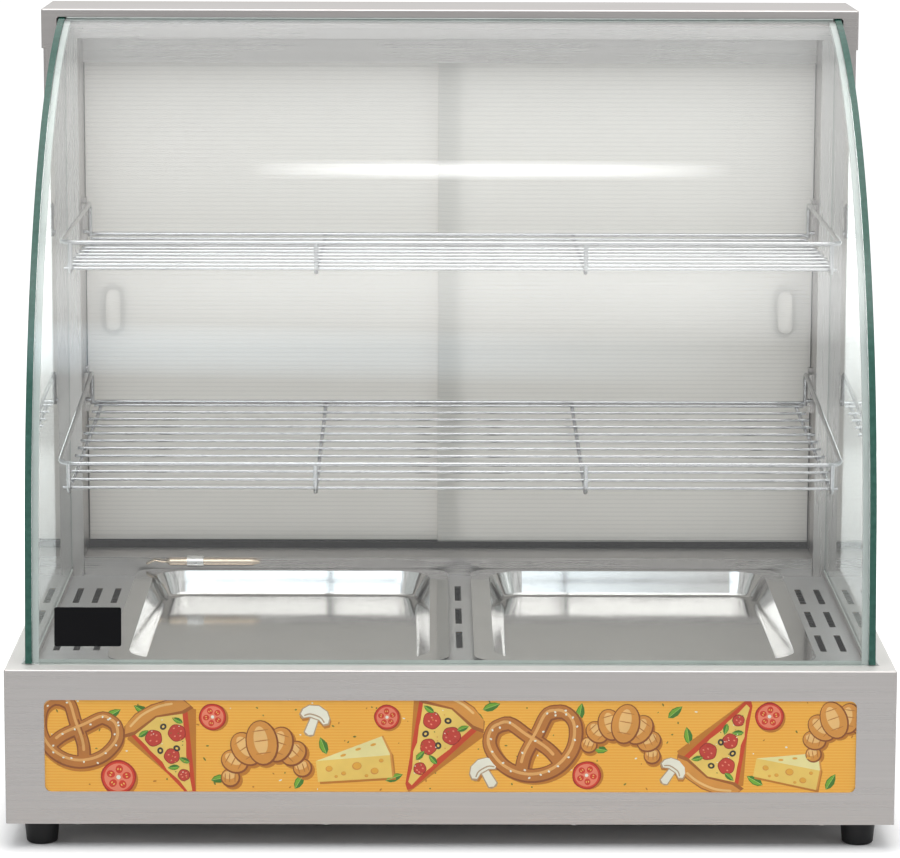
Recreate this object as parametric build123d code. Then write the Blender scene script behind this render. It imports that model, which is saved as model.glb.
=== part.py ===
from build123d import *
import math
import os

# Heated display case: a stainless base with two food pans, a curved glass hood on it,
# two wire shelves on the rear posts, and two sliding rear doors.
# Millimetres. X runs left to right, the front faces -Y, Z is up from the floor.

# Overall sizes
case_width = 660.0
case_depth = 455.0
foot_height = 20.0
base_height = 117.0
hood_height = 462.0
knob_reach = 20.0

# Sheet and play
sheet = 1.0
frame_sheet = 1.2
play = 0.3
slip = 0.1

# Base housing
edge_round = 1.5
front_ledge = 32.0
side_ledge = 20.0
ledge_drop = 5.0
bottom_flange = 40.0
rear_return = 14.0
window_side_margin = 29.5
window_height = 69.8
window_drop = 57.6
window_round = 5.0

# Print panel and the channels that hold it
print_thickness = 3.0
print_margin = 6.5
channel_lip = 8.0
channel_end_gap = 20.5

# Feet
foot_top_radius = 13.5
foot_bottom_radius = 11.5
foot_round = 2.5
foot_side_inset = 24.5
foot_front_inset = 25.0
foot_recess_radius = 5.6
foot_recess_depth = 9.0
foot_screw_radius = 2.5
foot_screw_head_radius = 4.6
foot_screw_head_height = 3.4
foot_nut_radius = 4.6
foot_nut_height = 3.2

# Bottom panel and its screws
bottom_panel_overlap = 14.0
bottom_panel_side_overlap = 8.0
vent_length = 40.0
vent_width = 5.0
vent_pitch_wide = 60.0
vent_pitch_deep = 90.0
vent_columns = 4
vent_rows = 1
bottom_screw_columns = 4
bottom_screw_side_inset = 53.0
bottom_screw_inset = 33.0
bracket_screw_inset = 8.0
screw_head_radius = 3.5
screw_head_height = 2.2
screw_shank_radius = 1.5
screw_length = 6.0
screw_slot_width = 0.8
screw_slot_depth = 0.6

# Food pans
pan_side_margin = 64.7
pan_length = 332.9
pan_depth = 18.5
pan_flange = 12.5
pan_end_flange = 6.0
pan_sheet = 0.9
pan_corner = 30.0
pan_flange_corner = 20.0
pan_draft = 11.0
pan_floor_round = 5.0
pan_cup_rise = 4.0
pan_gap = 18.6
pan_shift = 8.6
pan_setback = 28.6

# Deck plate
deck_overlap = 8.0
collar_clearance = 1.2
deck_back_margin = 3.0
slot_width = 5.0
slot_round = 0.8
slot_length = 55.5
slot_pitch_deep = 84.0
slot_pitch_wide = 15.2
slot_outer_margin = 31.0
slot_setback = 87.0
slot_columns = 3
slot_rows = 3
centre_slot_column = 7.2
centre_slot_setback = 97.5

# Glass
glass = 5.0
glass_lean = 6.4
glass_bend_radius = 417.0
glass_bend_setback = 441.8
glass_bend_drop = 416.0
glass_top_reach = 378.0
side_glass_inset = 14.4
glass_bed = 0.8
glass_gap = 0.4
seal_bead = 3.6
corner_bead = 4.4
side_bead = 3.0
gasket_wall = 0.6
gasket_cover = 21.0
gasket_end = 0.5
gasket_rest = 4.0

# Rear frame
cap_setback = 358.5
cap_height = 32.0
cap_lip = 6.5
post_width = 28.0
post_inset = 29.0
sill_setback = 362.5
sill_height = 10.0
track_setback = 403.0
track_height = 5.4
track_depth = 18.0
track_floor = 1.6
rail_drop = 47.7
rail_height = 19.0

# Lamp housing under the cap
housing_drop = 26.2
housing_height = 13.2
housing_depth = 39.0
housing_end_gap = 1.4
lamp_end_gap = 49.2
lamp_width = 17.0
lamp_height = 8.0
lamp_wall = 1.2
lamp_web = 1.5
diffuser_height = 3.0
lamp_strip_width = 10.0
lamp_strip_thickness = 1.0
lamp_strip_end_gap = 5.0
lamp_clip_width = 14.0
lamp_clip_end_gap = 60.0
lamp_clip_tab = 6.0

# Sliding doors
door_thickness = 4.0
door_plane_pitch = 6.5
door_first_plane = 3.0
door_overlap = 18.3
door_side_gap = 0.6
door_lift_room = 6.2
groove_play = 0.5
pull_width = 10.0
pull_height = 33.0
pull_wall = 1.0
pull_floor = 0.8
pull_flange = 3.6
pull_flange_thickness = 1.0
pull_from_edge = 21.6
pull_above_base = 209.0

# Wire shelves
rim_wire = 3.5
stay_wire = 3.3
peg_wire = 3.2
grid_wire = 2.4
shelf_side_gap = 6.0
stay_side_inset = 7.0
stay_inner = 102.0
rim_corner = 12.0
wire_bend = 6.0
weld_depth = 0.5
shelf_rear_drop = 27.3
shelf_front_drop = 20.2
grid_pitch = 26.2
grid_front_inset = 7.5
shelf_hook_setback = 390.0
peg_drop = 20.0
peg_reach = 5.6
upper_rail_height = 300.5
upper_shelf_depth = 262.5
upper_shelf_tilt = 0.0
lower_rail_height = 160.5
lower_shelf_depth = 300.0
lower_shelf_tilt = 4.3

# Hangers on the posts
hanger_thickness = 3.4
hanger_back = 7.0
hanger_nose = 6.5
hook_depth = 5.5
hook_floor = 4.5
hook_back_rise = 4.0
hanger_below = 30.0
notch_play = 0.35
rivet_radius = 2.0
rivet_head_radius = 2.8
rivet_head_height = 0.5

# Thermostat
bulb_radius = 3.0
bulb_from_post = 68.0
bulb_length = 77.0
bulb_height = 7.0
bulb_left_taper = 3.0
bulb_right_taper = 6.0
capillary_radius = 0.8
capillary_rise = 1.2
capillary_hole_step = 16.0
capillary_hole_height = 5.0
capillary_bend = 2.2
capillary_run = 26.0
capillary_drop = 35.0
clip_width = 13.5
clip_step = 24.0
clip_sheet = 0.8
clip_tab = 7.0
thermostat_x = 150.0
control_height = 72.0
thermostat_body_width = 44.0
thermostat_body_depth = 26.0
shaft_radius = 3.0
shaft_depth = 13.0
knob_radius = 17.0
knob_skirt_radius = 20.0
knob_skirt_height = 4.0
dial_radius = 28.0
dial_thickness = 0.8
knob_flutes = 14
knob_flute_radius = 1.6
knob_clearance = 0.6

# Rocker switches and lamps on the service panel
bezel_width = 25.0
bezel_height = 31.0
bezel_thickness = 2.0
rocker_width = 14.2
rocker_radius = 11.2
rocker_play = 0.4
rocker_waist = 8.0
rocker_lean = 10.0
rocker_pivot_depth = 4.0
switch_body_width = 20.0
switch_body_height = 27.0
switch_body_depth = 20.0
power_switch_x = 0.0
light_switch_x = 45.0
lamp_neck_radius = 4.5
lamp_rim_radius = 6.5
lamp_rim_height = 1.5
lamp_dome_radius = 4.8
lamp_dome_height = 2.5
lamp_back_depth = 14.0
power_lamp_x = 84.0
heat_lamp_x = 104.0
gland_side_inset = 80.0
gland_thread_radius = 8.0
gland_hex_radius = 12.5
gland_hex_height = 5.0
gland_dome_radius = 10.0
gland_dome_height = 12.0
gland_bore_radius = 4.2
stud_from_gland = 50.0
stud_radius = 3.0
stud_nut_radius = 5.6
stud_nut_height = 5.0
stud_length = 30.0
louvre_length = 40.0
louvre_height = 4.0
louvre_pitch = 10.0
louvre_count = 5
louvre_x = -110.0
louvre_spread = 26.0
service_screw_low = 15.0
service_screw_high = 25.0

# Heating
heater_tube_radius = 4.0
heater_span = 150.0
heater_length = 250.0
heater_below_pan = 16.0
shield_below_heater = 16.0
shield_margin = 30.0
shield_wall = 10.0
shield_leg_width = 40.0
shield_leg_foot = 14.0
shield_end_inset = 22.0
shield_leg_inset = 40.0
bracket_width = 16.0
bracket_place = 80.0
heater_bend = 28.0
terminal_pitch = 12.0
terminal_depth = 22.0
terminal_height = 18.0
terminal_from_gland = 100.0
terminal_setback = 110.0
terminal_screw_radius = 3.0
terminal_mouth = 5.0
terminal_count = 5

# Blank name plate on the front glass
badge_width = 49.6
badge_height = 29.0
badge_thickness = 0.6
badge_side_inset = 61.0
badge_above_base = 28.2
badge_round = 1.5

# Places worked out from the sizes above
half_width = case_width / 2
window_width = case_width - 2 * window_side_margin
channel_length = window_width - 2 * channel_end_gap
pan_width = (case_width - pan_gap) / 2 - pan_side_margin
slot_outer_column = half_width - slot_outer_margin
side_glass_outer = half_width - side_glass_inset
post_inner = half_width - post_inset
badge_x = badge_side_inset - half_width
gland_x = gland_side_inset - half_width
stud_x = gland_x + stud_from_gland
terminal_x = gland_x + terminal_from_gland
bulb_left = bulb_from_post - post_inner
bulb_right = bulb_left + bulb_length
capillary_hole_x = bulb_left - capillary_hole_step
clip_x = bulb_left + clip_step
shelf_half_width = post_inner - shelf_side_gap
stay_side = shelf_half_width - stay_side_inset
front_y = -(case_depth + knob_reach) / 2
back_y = front_y + case_depth
base_bottom = foot_height
base_top = foot_height + base_height
cap_top = base_top + hood_height
deck_top = base_top - ledge_drop
wall_inner = half_width - sheet
ledge_inner = half_width - side_ledge
ledge_back_y = front_y + front_ledge
cap_front_y = front_y + cap_setback
post_front_y = cap_front_y + frame_sheet + play
post_back_y = back_y - frame_sheet - play
post_outer = half_width - frame_sheet - play
sill_front_y = front_y + sill_setback
track_front_y = front_y + track_setback
track_back_y = track_front_y + track_depth
sill_top = base_top + sill_height
track_top = sill_top + track_height
rail_low = cap_top - rail_drop
rail_top = rail_low + rail_height
frame_inner = post_inner - play
side_glass_inner = side_glass_outer - glass
front_glass_half = side_glass_inner - glass_gap
housing_half_width = side_glass_inner - housing_end_gap
lamp_length = 2 * (housing_half_width - lamp_end_gap)
lamp_clip_place = lamp_length / 2 - lamp_clip_end_gap
glass_low = base_top + glass_bed
pan_centres = (pan_shift - (pan_width + pan_gap) / 2, pan_shift + (pan_width + pan_gap) / 2)
pan_front_y = front_y + pan_setback
pan_middle_y = pan_front_y + pan_length / 2
pan_floor = base_top - pan_depth
control_z = base_bottom + control_height
panel_front_y = back_y - sheet
housing_front_y = post_front_y + sheet
housing_back_y = housing_front_y + housing_depth
housing_low = cap_top - housing_drop
housing_top = housing_low + housing_height
lamp_y = housing_front_y + housing_depth / 2
lamp_top = housing_top - sheet
heater_z = pan_floor - heater_below_pan
shield_z = heater_z - shield_below_heater
bottom_inside = base_bottom + 2 * sheet
door_low = sill_top + track_floor + groove_play
door_top = rail_top - 3 * sheet - door_lift_room
door_edge = frame_inner - door_side_gap
door_width = door_edge + door_overlap / 2
first_door_y = track_front_y + door_first_plane
door_planes = (first_door_y, first_door_y + door_plane_pitch)


def block(x0, x1, y0, y1, z0, z1):
    """A box between two opposite corners."""
    return Pos((x0 + x1) / 2, (y0 + y1) / 2, (z0 + z1) / 2) * Box(x1 - x0, y1 - y0, z1 - z0)


def side_block(side, x0, x1, y0, y1, z0, z1):
    """A box given by its distances from the middle, on the left (-1) or the right (1)."""
    low, high = sorted((side * x0, side * x1))
    return block(low, high, y0, y1, z0, z1)


def standing(radius, height):
    """A round bar from the origin upward."""
    return Cylinder(radius, height, align=(Align.CENTER, Align.CENTER, Align.MIN))


def backward(x, y, z, radius, length):
    """A round bar from a point toward the front, along -Y."""
    return Pos(x, y, z) * Rot(90, 0, 0) * standing(radius, length)


def rod(radius, start, end):
    """A round bar from one point to another."""
    path = Line(start, end)
    return sweep((path ^ 0) * Circle(radius), path=path)


def bent_wire(radius, points, bend):
    """A wire through the points, its corners bent round."""
    path = FilletPolyline(*points, radius=bend)
    return sweep((path ^ 0) * Circle(radius), path=path)


def round_block(width, depth, height, corner, x, y, z):
    """An upright block with rounded corners, standing on z."""
    return Pos(x, y, z) * extrude(RectangleRounded(width, depth, corner), height)


def side_profile(outline, x0, x1):
    """A slab whose outline is drawn in Y and Z, from x0 to x1."""
    return Pos(x0, 0, 0) * extrude(Plane.YZ * outline, x1 - x0)


def polygon(*points):
    """A flat face through the points."""
    return make_face(Polyline(*points, close=True))


def both_sides(shape):
    """The shape and its mirror image about the middle of the case."""
    return [shape, mirror(shape, about=Plane.YZ)]


def joined(shapes):
    """All the shapes as one solid."""
    whole = shapes[0]
    for shape in shapes[1:]:
        whole = whole + shape
    return whole


def screw(x, y, z, length, turn=(0, 0, 0)):
    """A pan-head screw whose head lies under the point and whose shank goes up, then turned."""
    head = Pos(0, 0, -screw_head_height) * standing(screw_head_radius, screw_head_height)
    head = fillet(head.edges().sort_by(Axis.Z)[0], screw_head_height * 0.6)
    slot = Pos(0, 0, -screw_head_height) * Box(screw_head_radius * 1.2, screw_slot_width,
                                               2 * screw_slot_depth)
    whole = head - slot - Rot(0, 0, 90) * slot + standing(screw_shank_radius, length)
    return Pos(x, y, z) * Rot(*turn) * whole


# Glass curve: a leaning straight foot that runs into one bend
lean = math.radians(glass_lean)
bend_centre = (front_y + glass_bend_setback, cap_top - glass_bend_drop)
bend_start = (bend_centre[0] - glass_bend_radius * math.cos(lean),
              bend_centre[1] + glass_bend_radius * math.sin(lean))
glass_foot_y = bend_start[0] - (bend_start[1] - base_top) * math.tan(lean)


def on_bend(radius, angle):
    """A point of the bend, its angle counted up from straight forward."""
    return (bend_centre[0] - radius * math.cos(angle), bend_centre[1] + radius * math.sin(angle))


def foot_point(inset, z):
    """Where the straight foot, set in from the outer face, passes a height."""
    return (glass_foot_y + inset / math.cos(lean) + (z - base_top) * math.tan(lean), z)


def bend_angle(radius, y):
    """The bend's angle where a radius reaches a given Y."""
    return math.acos((bend_centre[0] - y) / radius)


def bend_band(outer, inner, start, end):
    """The outline between two radii of the bend, from one angle to another."""
    middle = (start + end) / 2
    return make_face([
        ThreePointArc(on_bend(outer, start), on_bend(outer, middle), on_bend(outer, end)),
        Line(on_bend(outer, end), on_bend(inner, end)),
        ThreePointArc(on_bend(inner, end), on_bend(inner, middle), on_bend(inner, start)),
        Line(on_bend(inner, start), on_bend(outer, start)),
    ])


def glass_band(outer_inset, inner_inset, low, back_y_of_outer):
    """The outline between two lines that follow the glass, from a height to a depth."""
    outer = glass_bend_radius - outer_inset
    inner = glass_bend_radius - inner_inset
    top = bend_angle(outer, back_y_of_outer)
    middle = (lean + top) / 2
    return make_face([
        Line(foot_point(outer_inset, low), on_bend(outer, lean)),
        ThreePointArc(on_bend(outer, lean), on_bend(outer, middle), on_bend(outer, top)),
        Line(on_bend(outer, top), on_bend(inner, top)),
        ThreePointArc(on_bend(inner, top), on_bend(inner, middle), on_bend(inner, lean)),
        Line(on_bend(inner, lean), foot_point(inner_inset, low)),
        Line(foot_point(inner_inset, low), foot_point(outer_inset, low)),
    ])


def foot_places():
    """Centres of the four feet."""
    rows = (front_y + foot_front_inset, back_y - foot_front_inset)
    return [(side * (half_width - foot_side_inset), y) for side in (-1, 1) for y in rows]


def screw_columns():
    """X of the screws along the base's long edges."""
    reach = half_width - bottom_screw_side_inset
    step = 2 * reach / (bottom_screw_columns - 1)
    return [-reach + number * step for number in range(bottom_screw_columns)]


def panel_screw_places():
    """Screws that hold the bottom panel along both long edges."""
    rows = (front_y + bottom_screw_inset, back_y - bottom_screw_inset)
    return [(x, y) for x in screw_columns() for y in rows]


def bracket_screw_places():
    """Screws that hold the print panel's bracket, close behind the front."""
    return [(x, front_y + bracket_screw_inset) for x in screw_columns()]


def service_screw_places():
    """X and Z of the rear panel's screws, on the housing's rear returns."""
    x = wall_inner - rear_return / 2
    return [(side * x, z) for side in (-1, 1)
            for z in (base_bottom + service_screw_low, base_top - service_screw_high)]


def make_base_housing():
    """Folded base: front, sides, ledges, lips round the deck, bottom and rear flanges."""
    body = block(-half_width, half_width, front_y, back_y, base_bottom, base_top)
    folds = [edge for edge in body.edges().filter_by(Axis.X)
             if edge.center().Y < front_y + 1 and edge.center().Z > base_top - 1]
    folds += body.edges().filter_by(Axis.Y).group_by(Axis.Z)[-1]
    folds += [edge for edge in body.edges().filter_by(Axis.Z) if edge.center().Y < front_y + 1]
    body = fillet(folds, edge_round)
    body -= block(-wall_inner, wall_inner, front_y + sheet, back_y + 1,
                  base_bottom + sheet, base_top - sheet)
    body -= block(-ledge_inner, ledge_inner, ledge_back_y, back_y + 1, base_top - 2, base_top + 1)
    well = half_width - bottom_flange
    body -= block(-well, well, front_y + bottom_flange, back_y - bottom_flange,
                  base_bottom - 1, base_bottom + 2)
    window = RectangleRounded(window_width, window_height, window_round)
    body -= Pos(0, front_y - 1, base_top - window_drop) * extrude(Plane.XZ * window, -sheet - 2)
    body += block(-ledge_inner, ledge_inner, ledge_back_y - sheet, ledge_back_y, deck_top, base_top)
    for side in (-1, 1):
        body += side_block(side, ledge_inner, ledge_inner + sheet, ledge_back_y - sheet,
                           back_y - deck_back_margin, deck_top, base_top)
        body += side_block(side, wall_inner - rear_return, wall_inner, panel_front_y - slip - sheet,
                           panel_front_y - slip, base_bottom, deck_top - 2 * sheet)
    for x, y in foot_places():
        body -= Pos(x, y, base_bottom) * Cylinder(foot_screw_radius + slip, 10)
    for x, y in panel_screw_places() + bracket_screw_places():
        body -= Pos(x, y, base_bottom) * Cylinder(screw_shank_radius + slip, 10)
    for x, z in service_screw_places():
        body -= backward(x, panel_front_y, z, screw_shank_radius + slip, 5)
    return body


def make_bottom_panel():
    """Flat cover laid on the housing's bottom flanges, vented in the middle."""
    half = half_width - bottom_flange + bottom_panel_side_overlap
    y0 = front_y + bottom_flange - bottom_panel_overlap
    y1 = back_y - bottom_flange + bottom_panel_overlap
    low = base_bottom + sheet
    panel = block(-half, half, y0, y1, low, low + sheet)
    cut = extrude(SlotOverall(vent_length, vent_width), 5 * sheet, both=True)
    for column in range(-vent_columns, vent_columns + 1):
        for row in range(-vent_rows, vent_rows + 1):
            y = (y0 + y1) / 2 + row * vent_pitch_deep
            panel -= Pos(column * vent_pitch_wide, y, low) * cut
    for x, y in panel_screw_places():
        panel -= Pos(x, y, low) * Cylinder(screw_shank_radius + slip, 10)
    return panel


def make_bottom_screws():
    """Pan-head screws under the base, for its bottom panel and for the print bracket."""
    places = panel_screw_places() + bracket_screw_places()
    return [screw(x, y, base_bottom, screw_length) for x, y in places]


def make_feet():
    """Four tapered rubber feet with a deep screw recess."""
    foot = Cone(foot_bottom_radius, foot_top_radius, foot_height,
                align=(Align.CENTER, Align.CENTER, Align.MIN))
    foot = fillet(foot.edges().sort_by(Axis.Z)[0], foot_round)
    foot -= Cylinder(foot_recess_radius, foot_recess_depth * 2)
    foot -= Cylinder(foot_screw_radius + slip, foot_height * 3)
    return [Pos(x, y, 0) * foot for x, y in foot_places()]


def make_foot_screws():
    """Screws up through the feet into nuts on the housing's flange."""
    under = foot_recess_depth - foot_screw_head_height
    length = foot_height - foot_recess_depth + sheet + foot_nut_height + 2
    whole = Pos(0, 0, under) * standing(foot_screw_head_radius, foot_screw_head_height)
    whole += Pos(0, 0, foot_recess_depth) * standing(foot_screw_radius, length)
    whole -= Pos(0, 0, under) * Box(6, 1, 2)
    return [Pos(x, y, 0) * whole for x, y in foot_places()]


def make_foot_nuts():
    """Hexagon nuts that clamp the feet, inside the base."""
    nut = extrude(RegularPolygon(foot_nut_radius, 6), foot_nut_height)
    nut -= Cylinder(foot_screw_radius + slip, foot_nut_height * 3)
    return [Pos(x, y, base_bottom + sheet) * nut for x, y in foot_places()]


def print_edges():
    """Low and high edge of the print panel."""
    middle = base_top - window_drop
    tall = window_height / 2 + print_margin
    return middle - tall, middle + tall


def make_print_panel():
    """Acrylic sheet behind the window."""
    half = window_width / 2 + print_margin
    low, high = print_edges()
    y0 = front_y + sheet + slip
    return block(-half, half, y0, y0 + print_thickness, low, high)


def make_print_holders():
    """A channel welded over the acrylic sheet, and the screwed bracket it stands on."""
    low, high = print_edges()
    half = channel_length / 2
    y0 = front_y + sheet
    y1 = y0 + print_thickness + 2 * slip
    top = block(-half, half, y0, y1 + sheet, high + slip, high + slip + sheet)
    top += block(-half, half, y1, y1 + sheet, high - channel_lip, high + slip + sheet)
    foot_z = base_bottom + sheet
    foot = block(-half, half, y1, front_y + bracket_screw_inset + 7, foot_z, foot_z + sheet)
    riser = block(-half, half, y1, y1 + sheet, foot_z, low + channel_lip)
    rest = block(-half, half, y0 + slip, y1 + sheet, low - slip - sheet, low - slip)
    bracket = foot + riser + rest
    for x, y in bracket_screw_places():
        bracket -= Pos(x, y, foot_z) * Cylinder(screw_shank_radius + slip, 10)
    return [top, bracket]


def pan_mouth():
    """Width and length of a pan's opening."""
    return pan_width - 2 * pan_flange, pan_length - 2 * pan_end_flange


def deck_slot_places():
    """Centres of the deck's slots: three columns each side and two in the middle."""
    places = []
    for row in range(slot_rows):
        y = front_y + slot_setback + slot_length / 2 + row * slot_pitch_deep
        for column in range(slot_columns):
            x = slot_outer_column - column * slot_pitch_wide
            places += [(x, y), (-x, y)]
        y = front_y + centre_slot_setback + slot_length / 2 + row * slot_pitch_deep
        places += [(centre_slot_column, y), (-centre_slot_column, y)]
    return places


def make_deck():
    """Slotted deck under the ledges, with a raised collar round each pan's hole."""
    half = ledge_inner + deck_overlap
    deck = block(-half, half, ledge_back_y - deck_overlap, back_y - deck_back_margin,
                 deck_top - sheet, deck_top)
    width, length = pan_mouth()
    width += 2 * collar_clearance
    length += 2 * collar_clearance
    for x in pan_centres:
        deck += round_block(width + 2 * sheet, length + 2 * sheet, ledge_drop + sheet,
                            pan_corner, x, pan_middle_y, deck_top - sheet)
        deck -= round_block(width, length, 4 * ledge_drop, pan_corner - sheet,
                            x, pan_middle_y, deck_top - 2 * ledge_drop)
    slots = [Pos(x, y) * RectangleRounded(slot_width, slot_length, slot_round)
             for x, y in deck_slot_places()]
    for slot in slots:
        deck -= Pos(0, 0, deck_top - 2 * sheet) * extrude(slot, 4 * sheet)
    tube_y = sill_front_y - bulb_radius - play + capillary_run
    deck -= Pos(capillary_hole_x, tube_y, deck_top) * Cylinder(capillary_radius + play, 10)
    return deck


def make_pan(x):
    """Pressed pan: flat flange on the collar, drafted walls, rounded floor."""
    width, length = pan_mouth()

    def cup(inset, floor_z, radius):
        top_z = base_top + pan_cup_rise
        top = Plane.XY.offset(top_z) * RectangleRounded(
            width - 2 * inset, length - 2 * inset, pan_corner - inset)
        low = Plane.XY.offset(floor_z) * RectangleRounded(
            width - 2 * pan_draft - 2 * inset, length - 2 * pan_draft - 2 * inset,
            pan_corner - pan_draft - inset)
        body = loft([top, low])
        return fillet(body.faces().sort_by(Axis.Z)[0].edges(), radius)

    flange = round_block(pan_width, pan_length, pan_sheet, pan_flange_corner, 0, 0, base_top)
    cover = block(-pan_width, pan_width, -pan_length, pan_length, base_top + pan_sheet,
                  base_top + 2 * pan_cup_rise)
    outside = cup(0, pan_floor, pan_floor_round) - cover
    inside = cup(pan_sheet, pan_floor + pan_sheet, pan_floor_round - pan_sheet)
    return Pos(x, pan_middle_y, 0) * (flange + outside - inside)


def make_rear_sill():
    """Folded sill between the posts, carrying the door track."""
    y1 = back_y - frame_sheet - slip
    sill = block(-frame_inner, frame_inner, sill_front_y, y1, deck_top, sill_top)
    sill -= block(-frame_inner - 1, frame_inner + 1, sill_front_y + sheet, y1 - sheet,
                  deck_top - 1, sill_top - sheet)
    hole = backward(capillary_hole_x, sill_front_y + 5, base_top + capillary_hole_height,
                    capillary_radius + play, 10)
    return sill - hole


def make_post(side):
    """Folded rear post with a notch under the lamp housing and a skirt down to the deck."""
    top = cap_top - sheet - play
    post = side_block(side, post_inner, post_outer, post_front_y, post_back_y, base_top, top)
    post -= side_block(side, post_inner + frame_sheet, post_outer - frame_sheet,
                       post_front_y + frame_sheet, post_back_y - frame_sheet,
                       base_top - 1, top + 1)
    post -= side_block(side, post_inner - 1, post_outer + 1, post_front_y - 1, housing_back_y + 2,
                       housing_low - slip, top + 1)
    post += side_block(side, post_inner, ledge_inner - slip, post_front_y,
                       post_front_y + frame_sheet, deck_top, base_top)
    post += side_block(side, post_inner, post_inner + frame_sheet, post_front_y,
                       back_y - deck_back_margin, deck_top, base_top)
    for x, z in cap_screw_places():
        post -= backward(x, back_y, z, screw_shank_radius + slip, 6)
    return post


def cap_screw_places():
    """X and Z of the screws through the cap's rear skirt into the posts."""
    x = (post_inner + post_outer) / 2
    z = cap_top - cap_height / 2
    return [(side * x + shift, z) for side in (-1, 1) for shift in (-8, 8)]


def make_cap():
    """Folded top cap: a slim lip over the glass, full wings beside it."""
    cap = block(-half_width, half_width, cap_front_y, back_y, cap_top - cap_height, cap_top)
    folds = cap.edges().group_by(Axis.Z)[-1] + cap.edges().filter_by(Axis.Z)
    cap = fillet(folds, edge_round)
    cap -= block(-half_width + frame_sheet, half_width - frame_sheet, cap_front_y + frame_sheet,
                 back_y - frame_sheet, cap_top - cap_height - 1, cap_top - sheet)
    slope = 1.5
    half = side_glass_outer + glass_gap + slope
    low = cap_top - cap_height - 1
    high = cap_top - cap_lip
    opening = polygon((-half, low), (half, low), (half, high - slope), (half - slope, high),
                      (slope - half, high), (-half, high - slope))
    cap -= Pos(0, cap_front_y - 1, 0) * extrude(Plane.XZ * opening, -frame_sheet - 1.5)
    for x, z in cap_screw_places():
        cap -= backward(x, back_y + 1, z, screw_shank_radius + slip, 6)
    return cap


def make_cap_screws():
    """Screws through the cap's rear skirt."""
    return [screw(x, back_y, z, screw_length, (90, 0, 0)) for x, z in cap_screw_places()]


def make_lamp_housing():
    """Folded channel across the posts' notches, open below, behind the glass's top edge."""
    half = housing_half_width
    housing = block(-half, half, housing_front_y, housing_back_y, housing_low, housing_top)
    housing -= block(-half + sheet, half - sheet, housing_front_y + sheet, housing_back_y - sheet,
                     housing_low - 1, housing_top - sheet)
    return housing


def make_lamp_bar():
    """Aluminium lamp profile, U-shaped, open below."""
    half = lamp_length / 2
    wide = lamp_width / 2
    bar = block(-half, half, lamp_y - wide, lamp_y + wide, lamp_top - lamp_height, lamp_top)
    bar -= block(-half - 1, half + 1, lamp_y - wide + lamp_wall, lamp_y + wide - lamp_wall,
                 lamp_top - lamp_height - 1, lamp_top - lamp_web)
    return bar


def make_lamp_strip():
    """Light strip glued in the lamp profile."""
    half = lamp_length / 2 - lamp_strip_end_gap
    wide = lamp_strip_width / 2
    high = lamp_top - lamp_web
    return block(-half, half, lamp_y - wide, lamp_y + wide, high - lamp_strip_thickness, high)


def make_lamp_diffuser():
    """Frosted cover snapped into the lamp profile."""
    half = lamp_length / 2
    wide = lamp_width / 2 - lamp_wall - slip
    low = lamp_top - lamp_height
    return block(-half, half, lamp_y - wide, lamp_y + wide, low, low + diffuser_height)


def make_lamp_clips():
    """Spring clips that hold the lamp profile to the housing's roof."""
    clips = []
    for x in (-lamp_clip_place, lamp_clip_place):
        for side in (-1, 1):
            near = lamp_y + side * (lamp_width / 2 + slip)
            low, high = sorted((near, near + side))
            cheek = block(x - lamp_clip_width / 2, x + lamp_clip_width / 2, low, high,
                          lamp_top - lamp_height + 1, lamp_top)
            low, high = sorted((near, near + side * lamp_clip_tab))
            tab = block(x - lamp_clip_width / 2, x + lamp_clip_width / 2, low, high,
                        lamp_top - 1, lamp_top)
            clips.append(cheek + tab)
    return clips


def make_glass_clips():
    """Small plates with a rivet in the hood's upper corners, on the lamp housing's face."""
    x = front_glass_half - 8
    y = housing_front_y - slip
    plate = block(x - 6, x + 6, y - 1, y, housing_top - 10, housing_top - 2)
    return both_sides(plate + backward(x, y - 1, housing_top - 6, 2.2, 0.9))


def make_side_glass(side):
    """Flat side pane whose front edge follows the bend."""
    back = post_front_y - play
    top = bend_angle(glass_bend_radius, back)
    middle = (lean + top) / 2
    outline = make_face([
        Line(foot_point(0, glass_low), on_bend(glass_bend_radius, lean)),
        ThreePointArc(on_bend(glass_bend_radius, lean), on_bend(glass_bend_radius, middle),
                      on_bend(glass_bend_radius, top)),
        Line(on_bend(glass_bend_radius, top), (back, glass_low)),
        Line((back, glass_low), foot_point(0, glass_low)),
    ])
    low, high = sorted((side * side_glass_inner, side * side_glass_outer))
    return side_profile(outline, low, high)


def make_front_glass():
    """Bent front pane between the side panes."""
    outline = glass_band(0, glass, glass_low, front_y + glass_top_reach)
    return side_profile(outline, -front_glass_half, front_glass_half)


def make_corner_seals():
    """Clear glue beads in the corners where the front pane meets the side panes."""
    outline = glass_band(glass + slip, glass + slip + seal_bead, glass_low,
                         post_front_y - seal_bead)
    return both_sides(side_profile(outline, front_glass_half - corner_bead,
                                   side_glass_inner - slip))


def make_glass_seals():
    """Silicone under the panes: a bed and a fillet beside each side pane, and one in front."""
    back = post_front_y - play
    start = glass_foot_y + 2
    bed = block(ledge_inner + slip, side_glass_outer + slip, start, back, base_top, glass_low)
    edge = side_glass_outer + slip
    bead = polygon((edge, base_top), (edge + side_bead, base_top), (edge, base_top + side_bead))
    bead = Pos(0, start, 0) * extrude(Plane.XZ * bead, start - back)
    half = front_glass_half - corner_bead - slip
    inner_y = foot_point(glass, base_top)[0] + seal_bead
    front = block(-half, half, glass_foot_y, inner_y, base_top, glass_low)
    outline = polygon(foot_point(glass + slip, glass_low), foot_point(glass + slip, base_top + 3),
                      (inner_y, base_top + 2.2), (inner_y, glass_low))
    return both_sides(bed + bead) + [front + side_profile(outline, -half, half)]


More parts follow.
